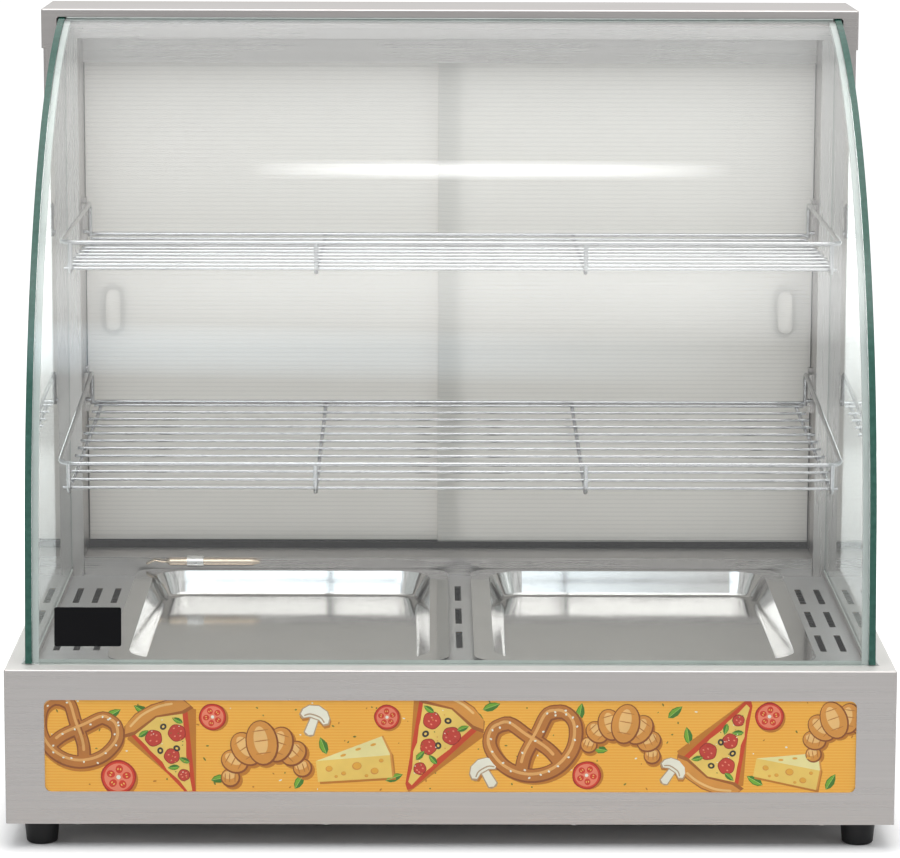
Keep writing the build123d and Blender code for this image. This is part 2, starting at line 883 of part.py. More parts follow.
def make_top_gasket():
    """Rubber profile over the front pane's top edge, resting on the lamp housing."""
    y = front_y + glass_top_reach
    outer = glass_bend_radius + gasket_wall
    inner = glass_bend_radius - glass - gasket_wall
    start = bend_angle(glass_bend_radius, y - gasket_cover)
    end = bend_angle(glass_bend_radius, y + gasket_wall + gasket_end)
    band = bend_band(outer, inner, start, end)
    slot = bend_band(glass_bend_radius + slip, glass_bend_radius - glass - slip, start - 0.02,
                     bend_angle(glass_bend_radius, y))
    half = housing_half_width
    gasket = side_profile(band, -half, half) - side_profile(slot, -half - 1, half + 1)
    back = y + 1
    front = back - gasket_rest
    join = inner + gasket_wall / 2
    rest = polygon((front, housing_top), (back, housing_top),
                   on_bend(join, bend_angle(join, back)), on_bend(join, bend_angle(join, front)))
    return gasket + side_profile(rest, -half, half)


def make_badge():
    """Blank name plate stuck on the front pane's straight foot."""
    plate = extrude(RectangleRounded(badge_width, badge_height, badge_round), badge_thickness)
    y, z = foot_point(0, base_top + badge_above_base)
    return Pos(badge_x, y, z) * Rot(90 - glass_lean, 0, 0) * plate


def cut_grooves(body, low, high):
    """Cuts a groove for each door out of a track."""
    for y in door_planes:
        body -= block(-frame_inner - 1, frame_inner + 1, y - groove_play,
                      y + door_thickness + groove_play, low, high)
    return body


def make_lower_track():
    """Black double groove on the sill."""
    track = block(-frame_inner, frame_inner, track_front_y, track_back_y, sill_top, track_top)
    return cut_grooves(track, sill_top + track_floor, track_top + 1)


def make_door_rail():
    """Folded steel rail over the doors, open below."""
    rail = block(-frame_inner, frame_inner, track_front_y, track_back_y, rail_low, rail_top)
    rail -= block(-frame_inner - 1, frame_inner + 1, track_front_y + sheet, track_back_y - sheet,
                  rail_low - 1, rail_top - sheet)
    return rail


def make_rail_liner():
    """Grey plastic guide inside the rail, with a groove for each door."""
    liner = block(-frame_inner, frame_inner, track_front_y + sheet + slip,
                  track_back_y - sheet - slip, rail_low, rail_top - sheet)
    return cut_grooves(liner, rail_low - 1, rail_top - 3 * sheet)


def door_plane(side):
    """Front face of a door: the right one slides in front of the left one."""
    return door_planes[0] if side > 0 else door_planes[1]


def pull_centre(side):
    """X and Z of a door's finger pull."""
    return side * (door_edge - pull_from_edge), base_top + pull_above_base


def make_door(side):
    """Sliding door pane with a long hole for its finger pull."""
    y = door_plane(side)
    door = side_block(side, door_edge - door_width, door_edge, y, y + door_thickness,
                      door_low, door_top)
    door = chamfer(door.edges().filter_by(Axis.Z), 0.4)
    x, z = pull_centre(side)
    grow = 2 * (pull_wall + slip)
    hole = extrude(SlotOverall(pull_height + grow, pull_width + grow, rotation=90), 20, both=True)
    return door - Pos(x, y, z) * Rot(90, 0, 0) * hole


def make_finger_pull(side):
    """Moulded cup let into the door from behind, with a flat rim."""
    y = door_plane(side) + door_thickness
    x, z = pull_centre(side)
    depth = door_thickness - 0.2

    def layer(grow, height, shift):
        slot = SlotOverall(pull_height + 2 * grow, pull_width + 2 * grow, rotation=90)
        return Pos(0, 0, shift) * extrude(slot, height)

    cup = layer(pull_wall, depth, 0) + layer(pull_wall + pull_flange, pull_flange_thickness,
                                             -pull_flange_thickness)
    cup -= layer(0, depth - pull_floor + pull_flange_thickness + 1, -pull_flange_thickness - 1)
    return Pos(x, y, z) * Rot(90, 0, 0) * cup


def make_shelf(depth, tilt, height):
    """A welded wire shelf: rail and rim, four stays, grid wires and hook pegs."""
    half = shelf_half_width
    rise = -shelf_front_drop + shelf_rear_drop
    under = (stay_wire + grid_wire) / 2 - weld_depth
    rear_wire_drop = stay_wire / 2 + 0.3 - shelf_rear_drop
    wires = [bent_wire(rim_wire / 2, [
        (-half, 0, -shelf_rear_drop), (-half, 0, 0), (-half, -depth, 0),
        (half, -depth, 0), (half, 0, 0), (half, 0, -shelf_rear_drop)],
        [wire_bend, rim_corner, rim_corner, wire_bend])]
    for x in (-stay_side, -stay_inner, stay_inner, stay_side):
        wires.append(bent_wire(stay_wire / 2, [
            (x, stay_wire / 2, -shelf_rear_drop - under), (x, -depth, -shelf_front_drop - under),
            (x, -depth, 0)], wire_bend))
    reach = half - rim_wire / 2
    count = int((depth - grid_front_inset) / grid_pitch) + 1
    for number in range(count):
        back = grid_front_inset + number * grid_pitch
        z = -shelf_front_drop - rise * back / depth
        wires.append(rod(grid_wire / 2, (-reach, back - depth, z), (reach, back - depth, z)))
    wires.append(rod(stay_wire / 2, (-half, 0, rear_wire_drop), (half, 0, rear_wire_drop)))
    for side in (-1, 1):
        for drop in peg_drops():
            wires.append(rod(peg_wire / 2, (side * half, 0, -drop),
                             (side * (half + peg_reach), 0, -drop)))
    place = Pos(0, front_y + shelf_hook_setback, base_top + height)
    return place * Rot(tilt, 0, 0) * joined(wires)


def peg_drops():
    """How far the upper and the lower peg lie below the rail."""
    return rim_wire, rim_wire + peg_drop


def peg_place(drop, tilt, height):
    """Y and Z of a peg that lies below the shelf's rail."""
    angle = math.radians(tilt)
    return (front_y + shelf_hook_setback + drop * math.sin(angle),
            base_top + height - drop * math.cos(angle))


def shelf_settings():
    """Tilt and rail height of the upper and the lower shelf."""
    return ((upper_shelf_tilt, upper_rail_height), (lower_shelf_tilt, lower_rail_height))


def hanger_rivet_places(tilt, height):
    """Y and Z of the two rivets of a hook plate."""
    y, z = peg_place(rim_wire, tilt, height)
    y += peg_wire / 2 + notch_play + hanger_back / 2
    return [(y, z - 2), (y, z - hanger_below + 6)]


def make_hanger(tilt, height):
    """Hook plate on a post: an open notch for the upper peg and a stop behind the lower one."""
    y, z = peg_place(rim_wire, tilt, height)
    stop = peg_place(rim_wire + peg_drop, tilt, height)[0] + peg_wire / 2 + play
    room = peg_wire / 2 + notch_play
    floor = z - peg_wire / 2 - play
    front = y - room - hanger_nose
    back = y + room + hanger_back
    low = z - hanger_below
    outline = polygon(
        (front, floor + hook_depth), (y - room, floor + hook_depth), (y - room, floor),
        (y + room, floor), (y + room, floor + hook_depth + hook_back_rise),
        (back, floor + hook_depth + hook_back_rise), (back, low), (stop, low),
        (stop, floor - hook_floor), (front, floor - hook_floor))
    plate = side_profile(outline, post_inner - hanger_thickness, post_inner)
    for rivet_y, rivet_z in hanger_rivet_places(tilt, height):
        hole = Rot(0, 90, 0) * Cylinder(rivet_radius + slip, hanger_thickness * 4)
        plate -= Pos(post_inner, rivet_y, rivet_z) * hole
    return plate


def make_hangers():
    """The hook plates of both shelves, on both posts."""
    plates = []
    for tilt, height in shelf_settings():
        plates += both_sides(make_hanger(tilt, height))
    return plates


def make_hanger_rivets():
    """Two rivets through each hook plate."""
    turn = Rot(0, 90, 0)
    bar = turn * standing(rivet_radius, hanger_thickness)
    head = Pos(-rivet_head_height, 0, 0) * turn * standing(rivet_head_radius, rivet_head_height)
    rivets = []
    for tilt, height in shelf_settings():
        for y, z in hanger_rivet_places(tilt, height):
            rivets += both_sides(Pos(post_inner - hanger_thickness, y, z) * (bar + head))
    return rivets


bulb_y = sill_front_y - bulb_radius - play
bulb_z = base_top + bulb_height


def make_bulb():
    """Thermostat bulb that lies before the sill."""
    straight = bulb_right - bulb_left - bulb_left_taper - bulb_right_taper
    middle = bulb_left + bulb_left_taper + straight / 2
    bulb = Pos(middle, bulb_y, bulb_z) * Rot(0, 90, 0) * Cylinder(bulb_radius, straight)
    ends = ((-1, bulb_left_taper, capillary_radius), (1, bulb_right_taper, 1.2))
    for side, taper, tip in ends:
        cone = Cone(bulb_radius, tip, taper, align=(Align.CENTER, Align.CENTER, Align.MIN))
        bulb += Pos(middle + side * straight / 2, bulb_y, bulb_z) * Rot(0, side * 90, 0) * cone
    return bulb


def make_capillary():
    """Fine tube from the bulb through the sill and the deck to the thermostat."""
    hole_z = base_top + capillary_hole_height
    under_z = base_top - capillary_drop
    run_y = bulb_y + capillary_run
    end_x = thermostat_x - 12
    end_y = panel_front_y - slip - thermostat_body_depth
    first = (bulb_left, bulb_y, bulb_z)
    return bent_wire(capillary_radius, [
        first, (bulb_left - 4, bulb_y, bulb_z),
        (bulb_left - 10, bulb_y, bulb_z + capillary_rise),
        (capillary_hole_x, bulb_y, hole_z), (capillary_hole_x, run_y, hole_z),
        (capillary_hole_x, run_y, under_z), (end_x, run_y, under_z), (end_x, end_y, under_z)],
        capillary_bend)


def make_bulb_clip():
    """Folded clip over the sill's edge that holds the bulb."""
    inner = bulb_radius + slip
    outer = inner + clip_sheet
    ring = Pos(bulb_y, bulb_z) * (Circle(outer) - Circle(inner))
    size = 8 * bulb_radius
    ring = ring & Pos(sill_front_y - size / 2, bulb_z) * Rectangle(size, size)
    riser = polygon((sill_front_y - clip_sheet, bulb_z + bulb_radius - 0.6),
                    (sill_front_y, bulb_z + bulb_radius - 0.6),
                    (sill_front_y, sill_top), (sill_front_y + clip_tab, sill_top),
                    (sill_front_y + clip_tab, sill_top + clip_sheet),
                    (sill_front_y - clip_sheet, sill_top + clip_sheet))
    return joined([side_profile(face, clip_x - clip_width / 2, clip_x + clip_width / 2)
                   for face in (ring.faces()[0], riser)])


def make_thermostat_body():
    """Thermostat block behind the rear panel, with its mounting plate."""
    half = thermostat_body_width / 2
    y1 = panel_front_y - slip
    body = block(thermostat_x - half, thermostat_x + half, y1 - thermostat_body_depth, y1 - 1.5,
                 control_z - half, control_z + half)
    body = fillet(body.edges().filter_by(Axis.Y), 4)
    body += block(thermostat_x - half - 4, thermostat_x + half + 4, y1 - 1.5, y1,
                  control_z - 10, control_z + 10)
    return body - backward(thermostat_x, y1 + 1, control_z, shaft_radius + play, shaft_depth + 2)


def make_shaft():
    """Thermostat shaft through the rear panel into the knob."""
    y1 = back_y + knob_reach - 5
    length = y1 - (panel_front_y - slip - shaft_depth + 1)
    return backward(thermostat_x, y1, control_z, shaft_radius, length)


def make_knob():
    """Fluted knob with a skirt and a pointer groove."""
    y0 = back_y + dial_thickness + knob_clearance
    grip = knob_reach - dial_thickness - knob_clearance
    knob = standing(knob_skirt_radius, knob_skirt_height)
    knob += Cone(knob_radius, knob_radius - 1.2, grip,
                 align=(Align.CENTER, Align.CENTER, Align.MIN))
    knob = fillet(knob.edges().sort_by(Axis.Z)[-1], 1.2)
    for number in range(knob_flutes):
        angle = 360 * (number + 0.5) / knob_flutes
        cut = Pos(knob_radius + 0.6, 0, knob_skirt_height + grip / 2) * Cylinder(
            knob_flute_radius, grip)
        knob -= Rot(0, 0, angle) * cut
    knob -= Pos(0, knob_radius / 2 + 2, grip) * Box(1.6, knob_radius, 1.6)
    knob -= standing(shaft_radius + slip, grip - 5 + 0.2)
    return Pos(thermostat_x, y0, control_z) * Rot(-90, 0, 0) * knob


def make_dial():
    """Thin round dial plate round the shaft."""
    disc = standing(dial_radius, dial_thickness) - Cylinder(shaft_radius + 2 * play, 10)
    return Pos(thermostat_x, back_y, control_z) * Rot(-90, 0, 0) * disc


def rocker_pivot():
    """Y and Z of a rocker's pivot line."""
    return back_y - rocker_pivot_depth, control_z


def make_switches():
    """Two switch bodies with their bezels, open for the rockers."""
    y, z = rocker_pivot()
    room = rocker_radius + rocker_play
    cave = Pos(y, z) * Circle(room)
    switches = []
    for x in (power_switch_x, light_switch_x):
        body = block(x - switch_body_width / 2, x + switch_body_width / 2,
                     panel_front_y - switch_body_depth, back_y,
                     z - switch_body_height / 2, z + switch_body_height / 2)
        body += block(x - bezel_width / 2, x + bezel_width / 2, back_y, back_y + bezel_thickness,
                      z - bezel_height / 2, z + bezel_height / 2)
        half = rocker_width / 2 + rocker_play
        body -= side_profile(cave, x - half, x + half)
        body -= block(x - half, x + half, y, back_y + 20, z - room, z + room)
        switches.append(body)
    return switches


def make_rocker(x):
    """Rocker with two sloped faces, resting on its lower half."""
    y, z = rocker_pivot()
    rise = rocker_radius * math.tan(math.radians(rocker_lean))
    face = polygon((-4, -rocker_radius), (rocker_waist + rise, -rocker_radius), (rocker_waist, 0),
                   (rocker_waist + rise, rocker_radius), (-4, rocker_radius))
    face = face & Circle(rocker_radius)
    half = rocker_width / 2
    rocker = side_profile(face, -half, half)
    return Pos(x, y, z) * Rot(rocker_lean, 0, 0) * rocker


def make_lamps():
    """Two indicator lamps in the rear panel."""
    lamp = Pos(0, 0, -lamp_back_depth) * standing(lamp_neck_radius, lamp_back_depth)
    lamp += standing(lamp_rim_radius, lamp_rim_height)
    dome = Pos(0, 0, lamp_rim_height) * Cone(lamp_dome_radius, lamp_dome_radius - 1.5,
                                             lamp_dome_height,
                                             align=(Align.CENTER, Align.CENTER, Align.MIN))
    lamp += dome
    return [Pos(x, back_y, control_z) * Rot(-90, 0, 0) * lamp
            for x in (power_lamp_x, heat_lamp_x)]


def make_gland():
    """Cable gland with its locknut, empty."""
    gland = extrude(RegularPolygon(gland_hex_radius, 6), gland_hex_height)
    gland += Pos(0, 0, gland_hex_height) * Cone(
        gland_dome_radius, gland_dome_radius - 2.5, gland_dome_height,
        align=(Align.CENTER, Align.CENTER, Align.MIN))
    gland += Pos(0, 0, -12) * standing(gland_thread_radius, 12)
    gland += Pos(0, 0, -sheet - 5) * extrude(RegularPolygon(gland_hex_radius - 1, 6), 5)
    gland -= Cylinder(gland_bore_radius, 4 * (gland_dome_height + gland_hex_height))
    return Pos(gland_x, back_y, control_z) * Rot(-90, 0, 0) * gland


def make_stud():
    """Earth stud with a nut on each side of the rear panel."""
    nut = extrude(RegularPolygon(stud_nut_radius, 6), stud_nut_height)
    stud = Pos(0, 0, -stud_length / 2) * standing(stud_radius, stud_length - 2)
    stud += nut
    stud += Pos(0, 0, -sheet - stud_nut_height) * nut
    return Pos(stud_x, back_y, control_z) * Rot(-90, 0, 0) * stud


def make_terminal_block():
    """Row of screw terminals on the bottom panel."""
    length = terminal_pitch * terminal_count
    y = back_y - terminal_setback
    body = block(terminal_x - length / 2, terminal_x + length / 2, y - terminal_depth / 2,
                 y + terminal_depth / 2, bottom_inside, bottom_inside + terminal_height)
    for number in range(terminal_count):
        x = terminal_x + (number + 0.5 - terminal_count / 2) * terminal_pitch
        for side in (-1, 1):
            place = Pos(x, y + side * terminal_depth / 4, bottom_inside + terminal_height)
            body -= place * Cylinder(terminal_screw_radius, terminal_height - 2)
            low, high = sorted((y + side * terminal_depth / 4, y + side * terminal_depth))
            body -= block(x - terminal_mouth / 2, x + terminal_mouth / 2, low, high,
                          bottom_inside + terminal_mouth / 2,
                          bottom_inside + 1.5 * terminal_mouth)
    return body


def make_heater(x):
    """Tubular heating element bent to a U under a pan, its ends to the rear."""
    half = heater_span / 2
    y0 = pan_middle_y - heater_length / 2
    y1 = pan_middle_y + heater_length / 2
    return bent_wire(heater_tube_radius, [
        (x - half, y1, heater_z), (x - half, y0, heater_z), (x + half, y0, heater_z),
        (x + half, y1, heater_z)], heater_bend)


def make_heater_brackets():
    """Saddles that carry the heating elements on the shield."""
    brackets = []
    for x in pan_centres:
        for shift in (-bracket_place, bracket_place):
            y = pan_middle_y + shift
            for side in (-1, 1):
                tube_x = x + side * heater_span / 2
                saddle = block(tube_x - 9, tube_x + 9, y - bracket_width / 2,
                               y + bracket_width / 2, shield_z + sheet, heater_z)
                saddle -= Pos(tube_x, y, heater_z) * Rot(90, 0, 0) * Cylinder(
                    heater_tube_radius + slip, bracket_width * 2)
                brackets.append(saddle)
    return brackets


def make_shield():
    """Tray under the heating elements, on folded legs that stand on the bottom panel."""
    half = pan_width + shield_margin / 2
    y0 = pan_front_y + shield_end_inset
    y1 = pan_front_y + pan_length - shield_end_inset
    tray = block(-half, half, y0, y1, shield_z, shield_z + shield_wall)
    tray -= block(-half + sheet, half - sheet, y0 + sheet, y1 - sheet,
                  shield_z + sheet, shield_z + shield_wall + 1)
    for side in (-1, 1):
        for y in (y0 + shield_leg_inset, y1 - shield_leg_inset):
            tray += side_block(side, half - sheet, half, y - shield_leg_width / 2,
                               y + shield_leg_width / 2, bottom_inside, shield_z + sheet)
            tray += side_block(side, half - shield_leg_foot, half, y - shield_leg_width / 2,
                               y + shield_leg_width / 2, bottom_inside, bottom_inside + sheet)
    return tray


def make_rear_panel():
    """Flat rear panel with the controls' holes and five louvre slots."""
    half = wall_inner - play
    panel = block(-half, half, panel_front_y, back_y, base_bottom + sheet + 0.2,
                  base_top - sheet - 0.2)
    panel -= backward(thermostat_x, back_y + 1, control_z, shaft_radius + play, 10)
    for x in (power_switch_x, light_switch_x):
        panel -= block(x - switch_body_width / 2 - slip, x + switch_body_width / 2 + slip,
                       panel_front_y - 1, back_y + 1, control_z - switch_body_height / 2 - slip,
                       control_z + switch_body_height / 2 + slip)
    round_holes = ((power_lamp_x, lamp_neck_radius), (heat_lamp_x, lamp_neck_radius),
                   (gland_x, gland_thread_radius), (stud_x, stud_radius))
    for x, radius in round_holes:
        panel -= backward(x, back_y + 1, control_z, radius + slip, 10)
    for x, z in service_screw_places():
        panel -= backward(x, back_y + 1, z, screw_shank_radius + slip, 10)
    for side in (-1, 1):
        for number in range(louvre_count):
            z = control_z + (number - (louvre_count - 1) / 2) * louvre_pitch
            slot = extrude(SlotOverall(louvre_length, louvre_height), 10, both=True)
            panel -= Pos(louvre_x + side * louvre_spread, back_y, z) * Rot(90, 0, 0) * slot
    return panel


def make_rear_panel_screws():
    """Screws at the rear panel's corners."""
    return [screw(x, back_y, z, screw_length, (90, 0, 0))
            for x, z in service_screw_places()]


def node_shapes():
    """Every node's name with its solid or solids."""
    left_pan, right_pan = pan_centres
    return {
        "base_housing": make_base_housing(),
        "bottom_panel": make_bottom_panel(),
        "bottom_screws": make_bottom_screws(),
        "rubber_feet": make_feet(),
        "foot_screws": make_foot_screws(),
        "foot_nuts": make_foot_nuts(),
        "print_panel": make_print_panel(),
        "print_holders": make_print_holders(),
        "deck_plate": make_deck(),
        "food_pan_left": make_pan(left_pan),
        "food_pan_right": make_pan(right_pan),
        "rear_sill": make_rear_sill(),
        "post_left": make_post(-1),
        "post_right": make_post(1),
        "top_cap": make_cap(),
        "cap_screws": make_cap_screws(),
        "lamp_housing": make_lamp_housing(),
        "lamp_bar": make_lamp_bar(),
        "lamp_strip": make_lamp_strip(),
        "lamp_diffuser": make_lamp_diffuser(),
        "lamp_clips": make_lamp_clips(),
        "glass_clips": make_glass_clips(),
        "side_glass_left": make_side_glass(-1),
        "side_glass_right": make_side_glass(1),
        "front_glass": make_front_glass(),
        "corner_seals": make_corner_seals(),
        "glass_seals": make_glass_seals(),
        "top_gasket": make_top_gasket(),
        "badge_plate": make_badge(),
        "lower_track": make_lower_track(),
        "door_rail": make_door_rail(),
        "rail_liner": make_rail_liner(),
        "door_left": make_door(-1),
        "door_right": make_door(1),
        "finger_pull_left": make_finger_pull(-1),
        "finger_pull_right": make_finger_pull(1),
        "upper_shelf": make_shelf(upper_shelf_depth, upper_shelf_tilt, upper_rail_height),
        "lower_shelf": make_shelf(lower_shelf_depth, lower_shelf_tilt, lower_rail_height),
        "shelf_hangers": make_hangers(),
        "hanger_rivets": make_hanger_rivets(),
        "thermostat_bulb": make_bulb(),
        "capillary_tube": make_capillary(),
        "bulb_clip": make_bulb_clip(),
        "thermostat_body": make_thermostat_body(),
        "thermostat_shaft": make_shaft(),
        "thermostat_knob": make_knob(),
        "dial_plate": make_dial(),
        "rocker_switches": make_switches(),
        "power_rocker": make_rocker(power_switch_x),
        "light_rocker": make_rocker(light_switch_x),
        "indicator_lamps": make_lamps(),
        "cable_gland": make_gland(),
        "terminal_block": make_terminal_block(),
        "earth_stud": make_stud(),
        "heater_left": make_heater(left_pan),
        "heater_right": make_heater(right_pan),
        "heater_brackets": make_heater_brackets(),
        "heat_shield": make_shield(),
        "rear_panel": make_rear_panel(),
        "rear_panel_screws": make_rear_panel_screws(),
    }


def main():
    """Writes one STEP file for each node."""
    os.makedirs("parts", exist_ok=True)
    for name, shape in node_shapes().items():
        whole = Compound(children=shape) if isinstance(shape, list) else shape
        export_step(whole, f"parts/{name}.step")


main()
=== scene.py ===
import math
import random

import bpy
from mathutils import Matrix, Vector


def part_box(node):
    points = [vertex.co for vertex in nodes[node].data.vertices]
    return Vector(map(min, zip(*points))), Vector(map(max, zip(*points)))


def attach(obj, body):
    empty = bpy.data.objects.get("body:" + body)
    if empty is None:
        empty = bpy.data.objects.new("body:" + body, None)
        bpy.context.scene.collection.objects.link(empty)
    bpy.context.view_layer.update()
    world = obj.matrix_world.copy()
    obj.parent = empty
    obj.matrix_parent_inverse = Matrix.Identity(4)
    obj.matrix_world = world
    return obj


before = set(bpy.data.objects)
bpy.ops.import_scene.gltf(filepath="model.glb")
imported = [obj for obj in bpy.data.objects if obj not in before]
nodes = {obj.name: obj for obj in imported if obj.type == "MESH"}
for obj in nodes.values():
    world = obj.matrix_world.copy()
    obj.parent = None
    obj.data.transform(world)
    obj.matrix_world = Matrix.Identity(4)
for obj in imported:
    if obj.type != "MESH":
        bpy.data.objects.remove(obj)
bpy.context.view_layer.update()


def edge(node, axis, high):
    """A CAD node's low or high side along an axis, in metres."""
    return round(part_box(node)[int(high)]["XYZ".index(axis)], 6)


def middle(node):
    """The middle of a CAD node's box, in metres."""
    return [(low + high) / 2 for low, high in zip(*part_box(node))]


# Places in the shared frame, in metres
FRONT_Y = edge("base_housing", "Y", False)
BASE_TOP = edge("base_housing", "Z", True)
CASE_HALF = edge("base_housing", "X", True)
POST_INNER = edge("post_right", "X", False)
PRINT_FRONT = edge("print_panel", "Y", False)
PRINT_MIDDLE = (edge("print_panel", "Z", False) + edge("print_panel", "Z", True)) / 2

# The part of the printed sheet that shows in the window, in millimetres from its middle
PRINT_MARGIN = 6.5
PRINT_INSET = 0.2
WINDOW_HALF = edge("print_panel", "X", True) * 1000 - PRINT_MARGIN - PRINT_INSET
WINDOW_HIGH = (edge("print_panel", "Z", True) - PRINT_MIDDLE) * 1000 - PRINT_MARGIN - PRINT_INSET
WINDOW_CORNER = 5.0 - PRINT_INSET
INK_LAYER = 0.008
SHADE_SHIFT = (1.2, -1.6)
SPECKS = 150
FIRST_SPECK = -299
SPECK_STEP = 4

# Bands in the finishes, in metres
RIB_PITCH = 0.0036
STRIPE_PITCH = 0.00215

# Brushed streaks for each metre, across and along the brushing
FINE_STREAKS = (900.0, 6.0)
BROAD_STREAKS = (220.0, 3.0)

# Marks on the controls, in millimetres and degrees
MARK_LIFT = 0.03
DIAL_SWEEP = 300
DIAL_STEPS = 6
TICKS = 30
TICK_INNER = 20.9
TICK_OUTER = 21.9
LONG_TICK_OUTER = 22.8
NUMBER_RADIUS = 25.2
NUMBER_SIZE = 4.0
POINTER_INNER = 3.0
POINTER_OUTER = 14.2
GROOVE_DEPTH = 0.8
SIGN_SIZE = 5.0
OFF_SIGN_ABOVE = 5.8
ON_SIGN_BELOW = 5.2

# Pile strips: how far they stand off the post and reach back behind a door, in millimetres
STRIP_GAP = 0.3
STRIP_PROFILE = ((0.0, 0.0), (0.0, 1.8), (0.6, 1.8), (1.7, 1.4), (1.9, 0.9), (1.7, 0.3), (0.8, 0.0))

# The viewpoint: metres from the middle of the base's top front edge, and angles in radians
CAMERA_OFFSET = (-0.0164665, -2.8772045, 0.6814326)
CAMERA_PITCH = 0.1721828
CAMERA_YAW = 0.0053563
CAMERA_ROLL = 0.0029557
CAMERA_LENS = 160
CAMERA_SENSOR = 36

# The studio, in metres and shares
FLOOR_HALF = 14.0
# The floor's glow by distance outside the case's footprint is painted light, which shapes the soft
# edge of the object's shadow.
SHADOW_INSET = 0.021
FLOOR_GLOW = ((0.0, 0.0), (0.009, 0.15), (0.023, 0.25), (0.038, 0.46), (0.07, 0.60), (0.32, 0.66),
              (1.0, 0.78))
FLOOR_MIRRORED = 0.2
WORLD_LIGHT = 0.36
SOFT_BOX_PEAK = 16.0


# Node trees

class Tree:
    """A node tree with short ways to add and join nodes."""

    def __init__(self, tree):
        self.tree = tree

    def add(self, kind, **values):
        node = self.tree.nodes.new(kind)
        for key, value in values.items():
            setattr(node, key, value)
        return node

    def put(self, value, socket):
        """Joins another socket to this one, or sets it to a number, vector or colour."""
        if isinstance(value, bpy.types.NodeSocket):
            self.tree.links.new(value, socket)
        elif socket.type == "RGBA":
            socket.default_value = (*value, 1)
        else:
            socket.default_value = value

    def math(self, operation, *values):
        node = self.add("ShaderNodeMath", operation=operation)
        for value, socket in zip(values, node.inputs):
            self.put(value, socket)
        return node.outputs[0]

    def place(self):
        """Object coordinates."""
        return self.add("ShaderNodeTexCoord").outputs["Object"]

    def axes(self, vector=None):
        """The X, Y and Z of object coordinates or of another vector."""
        node = self.add("ShaderNodeSeparateXYZ")
        self.put(self.place() if vector is None else vector, node.inputs[0])
        return tuple(node.outputs)

    def facing(self):
        """The X, Y and Z of a face's own normal."""
        return self.axes(self.add("ShaderNodeNewGeometry").outputs["True Normal"])

    def stretched(self, scale, vector=None):
        """Object coordinates or another vector, stretched by a factor for each axis."""
        node = self.add("ShaderNodeMapping")
        self.put(self.place() if vector is None else vector, node.inputs["Vector"])
        self.put(scale, node.inputs["Scale"])
        return node.outputs["Vector"]

    def turned(self, scale, side):
        """Stretched object coordinates, with X and Y exchanged on side faces."""
        x, y, z = self.axes()
        step = self.math("MULTIPLY", self.math("SUBTRACT", y, x), side)
        both = self.add("ShaderNodeCombineXYZ")
        self.put(self.math("ADD", x, step), both.inputs["X"])
        self.put(self.math("SUBTRACT", y, step), both.inputs["Y"])
        self.put(z, both.inputs["Z"])
        return self.stretched(scale, both.outputs[0])

    def noise(self, scale, detail, rough, vector=None):
        """Cloudy noise over object coordinates or another vector."""
        node = self.add("ShaderNodeTexNoise")
        self.put(self.place() if vector is None else vector, node.inputs["Vector"])
        self.put(scale, node.inputs["Scale"])
        self.put(detail, node.inputs["Detail"])
        self.put(rough, node.inputs["Roughness"])
        return node.outputs["Fac"]

    def bands(self, pitch):
        """Level bands that rise from 0 to 1 and fall again over each pitch of height."""
        turns = self.math("MULTIPLY", self.axes()[2], 2 * math.pi / pitch)
        return self.math("MULTIPLY", self.math("ADD", self.math("SINE", turns), 1.0), 0.5)

    def ramp(self, value, *stops):
        node = self.add("ShaderNodeValToRGB")
        ramp = node.color_ramp
        while len(ramp.elements) < len(stops):
            ramp.elements.new(0.5)
        for element, (place, colour) in zip(ramp.elements, stops):
            element.position = place
            if isinstance(colour, (int, float)):
                colour = (colour, colour, colour)
            element.color = (*colour, 1)
        self.put(value, node.inputs["Fac"])
        return node.outputs["Color"]

    def bump(self, height, strength, distance):
        node = self.add("ShaderNodeBump")
        self.put(strength, node.inputs["Strength"])
        self.put(distance, node.inputs["Distance"])
        self.put(height, node.inputs["Height"])
        return node.outputs["Normal"]

    def blend(self, share, first, second):
        """One colour turning into another."""
        node = self.add("ShaderNodeMix", data_type="RGBA")
        colours = [socket for socket in node.inputs if socket.type == "RGBA"]
        self.put(share, node.inputs["Factor"])
        for value, socket in zip((first, second), colours):
            self.put(value, socket)
        return next(socket for socket in node.outputs if socket.type == "RGBA")

    def shader(self, kind, **values):
        node = self.add("ShaderNode" + kind)
        for key, value in values.items():
            self.put(value, node.inputs[key.replace("_", " ")])
        return node.outputs[0]

    def principled(self, **values):
        return self.shader("BsdfPrincipled", **values)

    def mixed(self, share, first, second):
        """One shader turning into another."""
        node = self.add("ShaderNodeMixShader")
        for value, socket in zip((share, first, second), node.inputs):
            self.put(value, socket)
        return node.outputs[0]

    def seen_rays(self, mirrored=1.0):
        """1 for rays from the camera and through glass, and a share for mirrored ones."""
        path = self.add("ShaderNodeLightPath").outputs
        direct = self.math("MAXIMUM", path["Is Camera Ray"], path["Is Transmission Ray"])
        part = self.math("MULTIPLY", path["Is Glossy Ray"], mirrored)
        return self.math("MAXIMUM", direct, part)


class Finish(Tree):
    """A material's node tree."""

    def __init__(self, name):
        self.material = bpy.data.materials.new(name)
        self.material.use_nodes = True
        super().__init__(self.material.node_tree)
        self.tree.nodes.clear()

    def done(self, shader):
        out = self.add("ShaderNodeOutputMaterial")
        self.put(shader, out.inputs["Surface"])
        return self.material


# Finishes

def scaled(colour, share):
    """A colour made darker or brighter by a factor."""
    return tuple(c * share for c in colour)


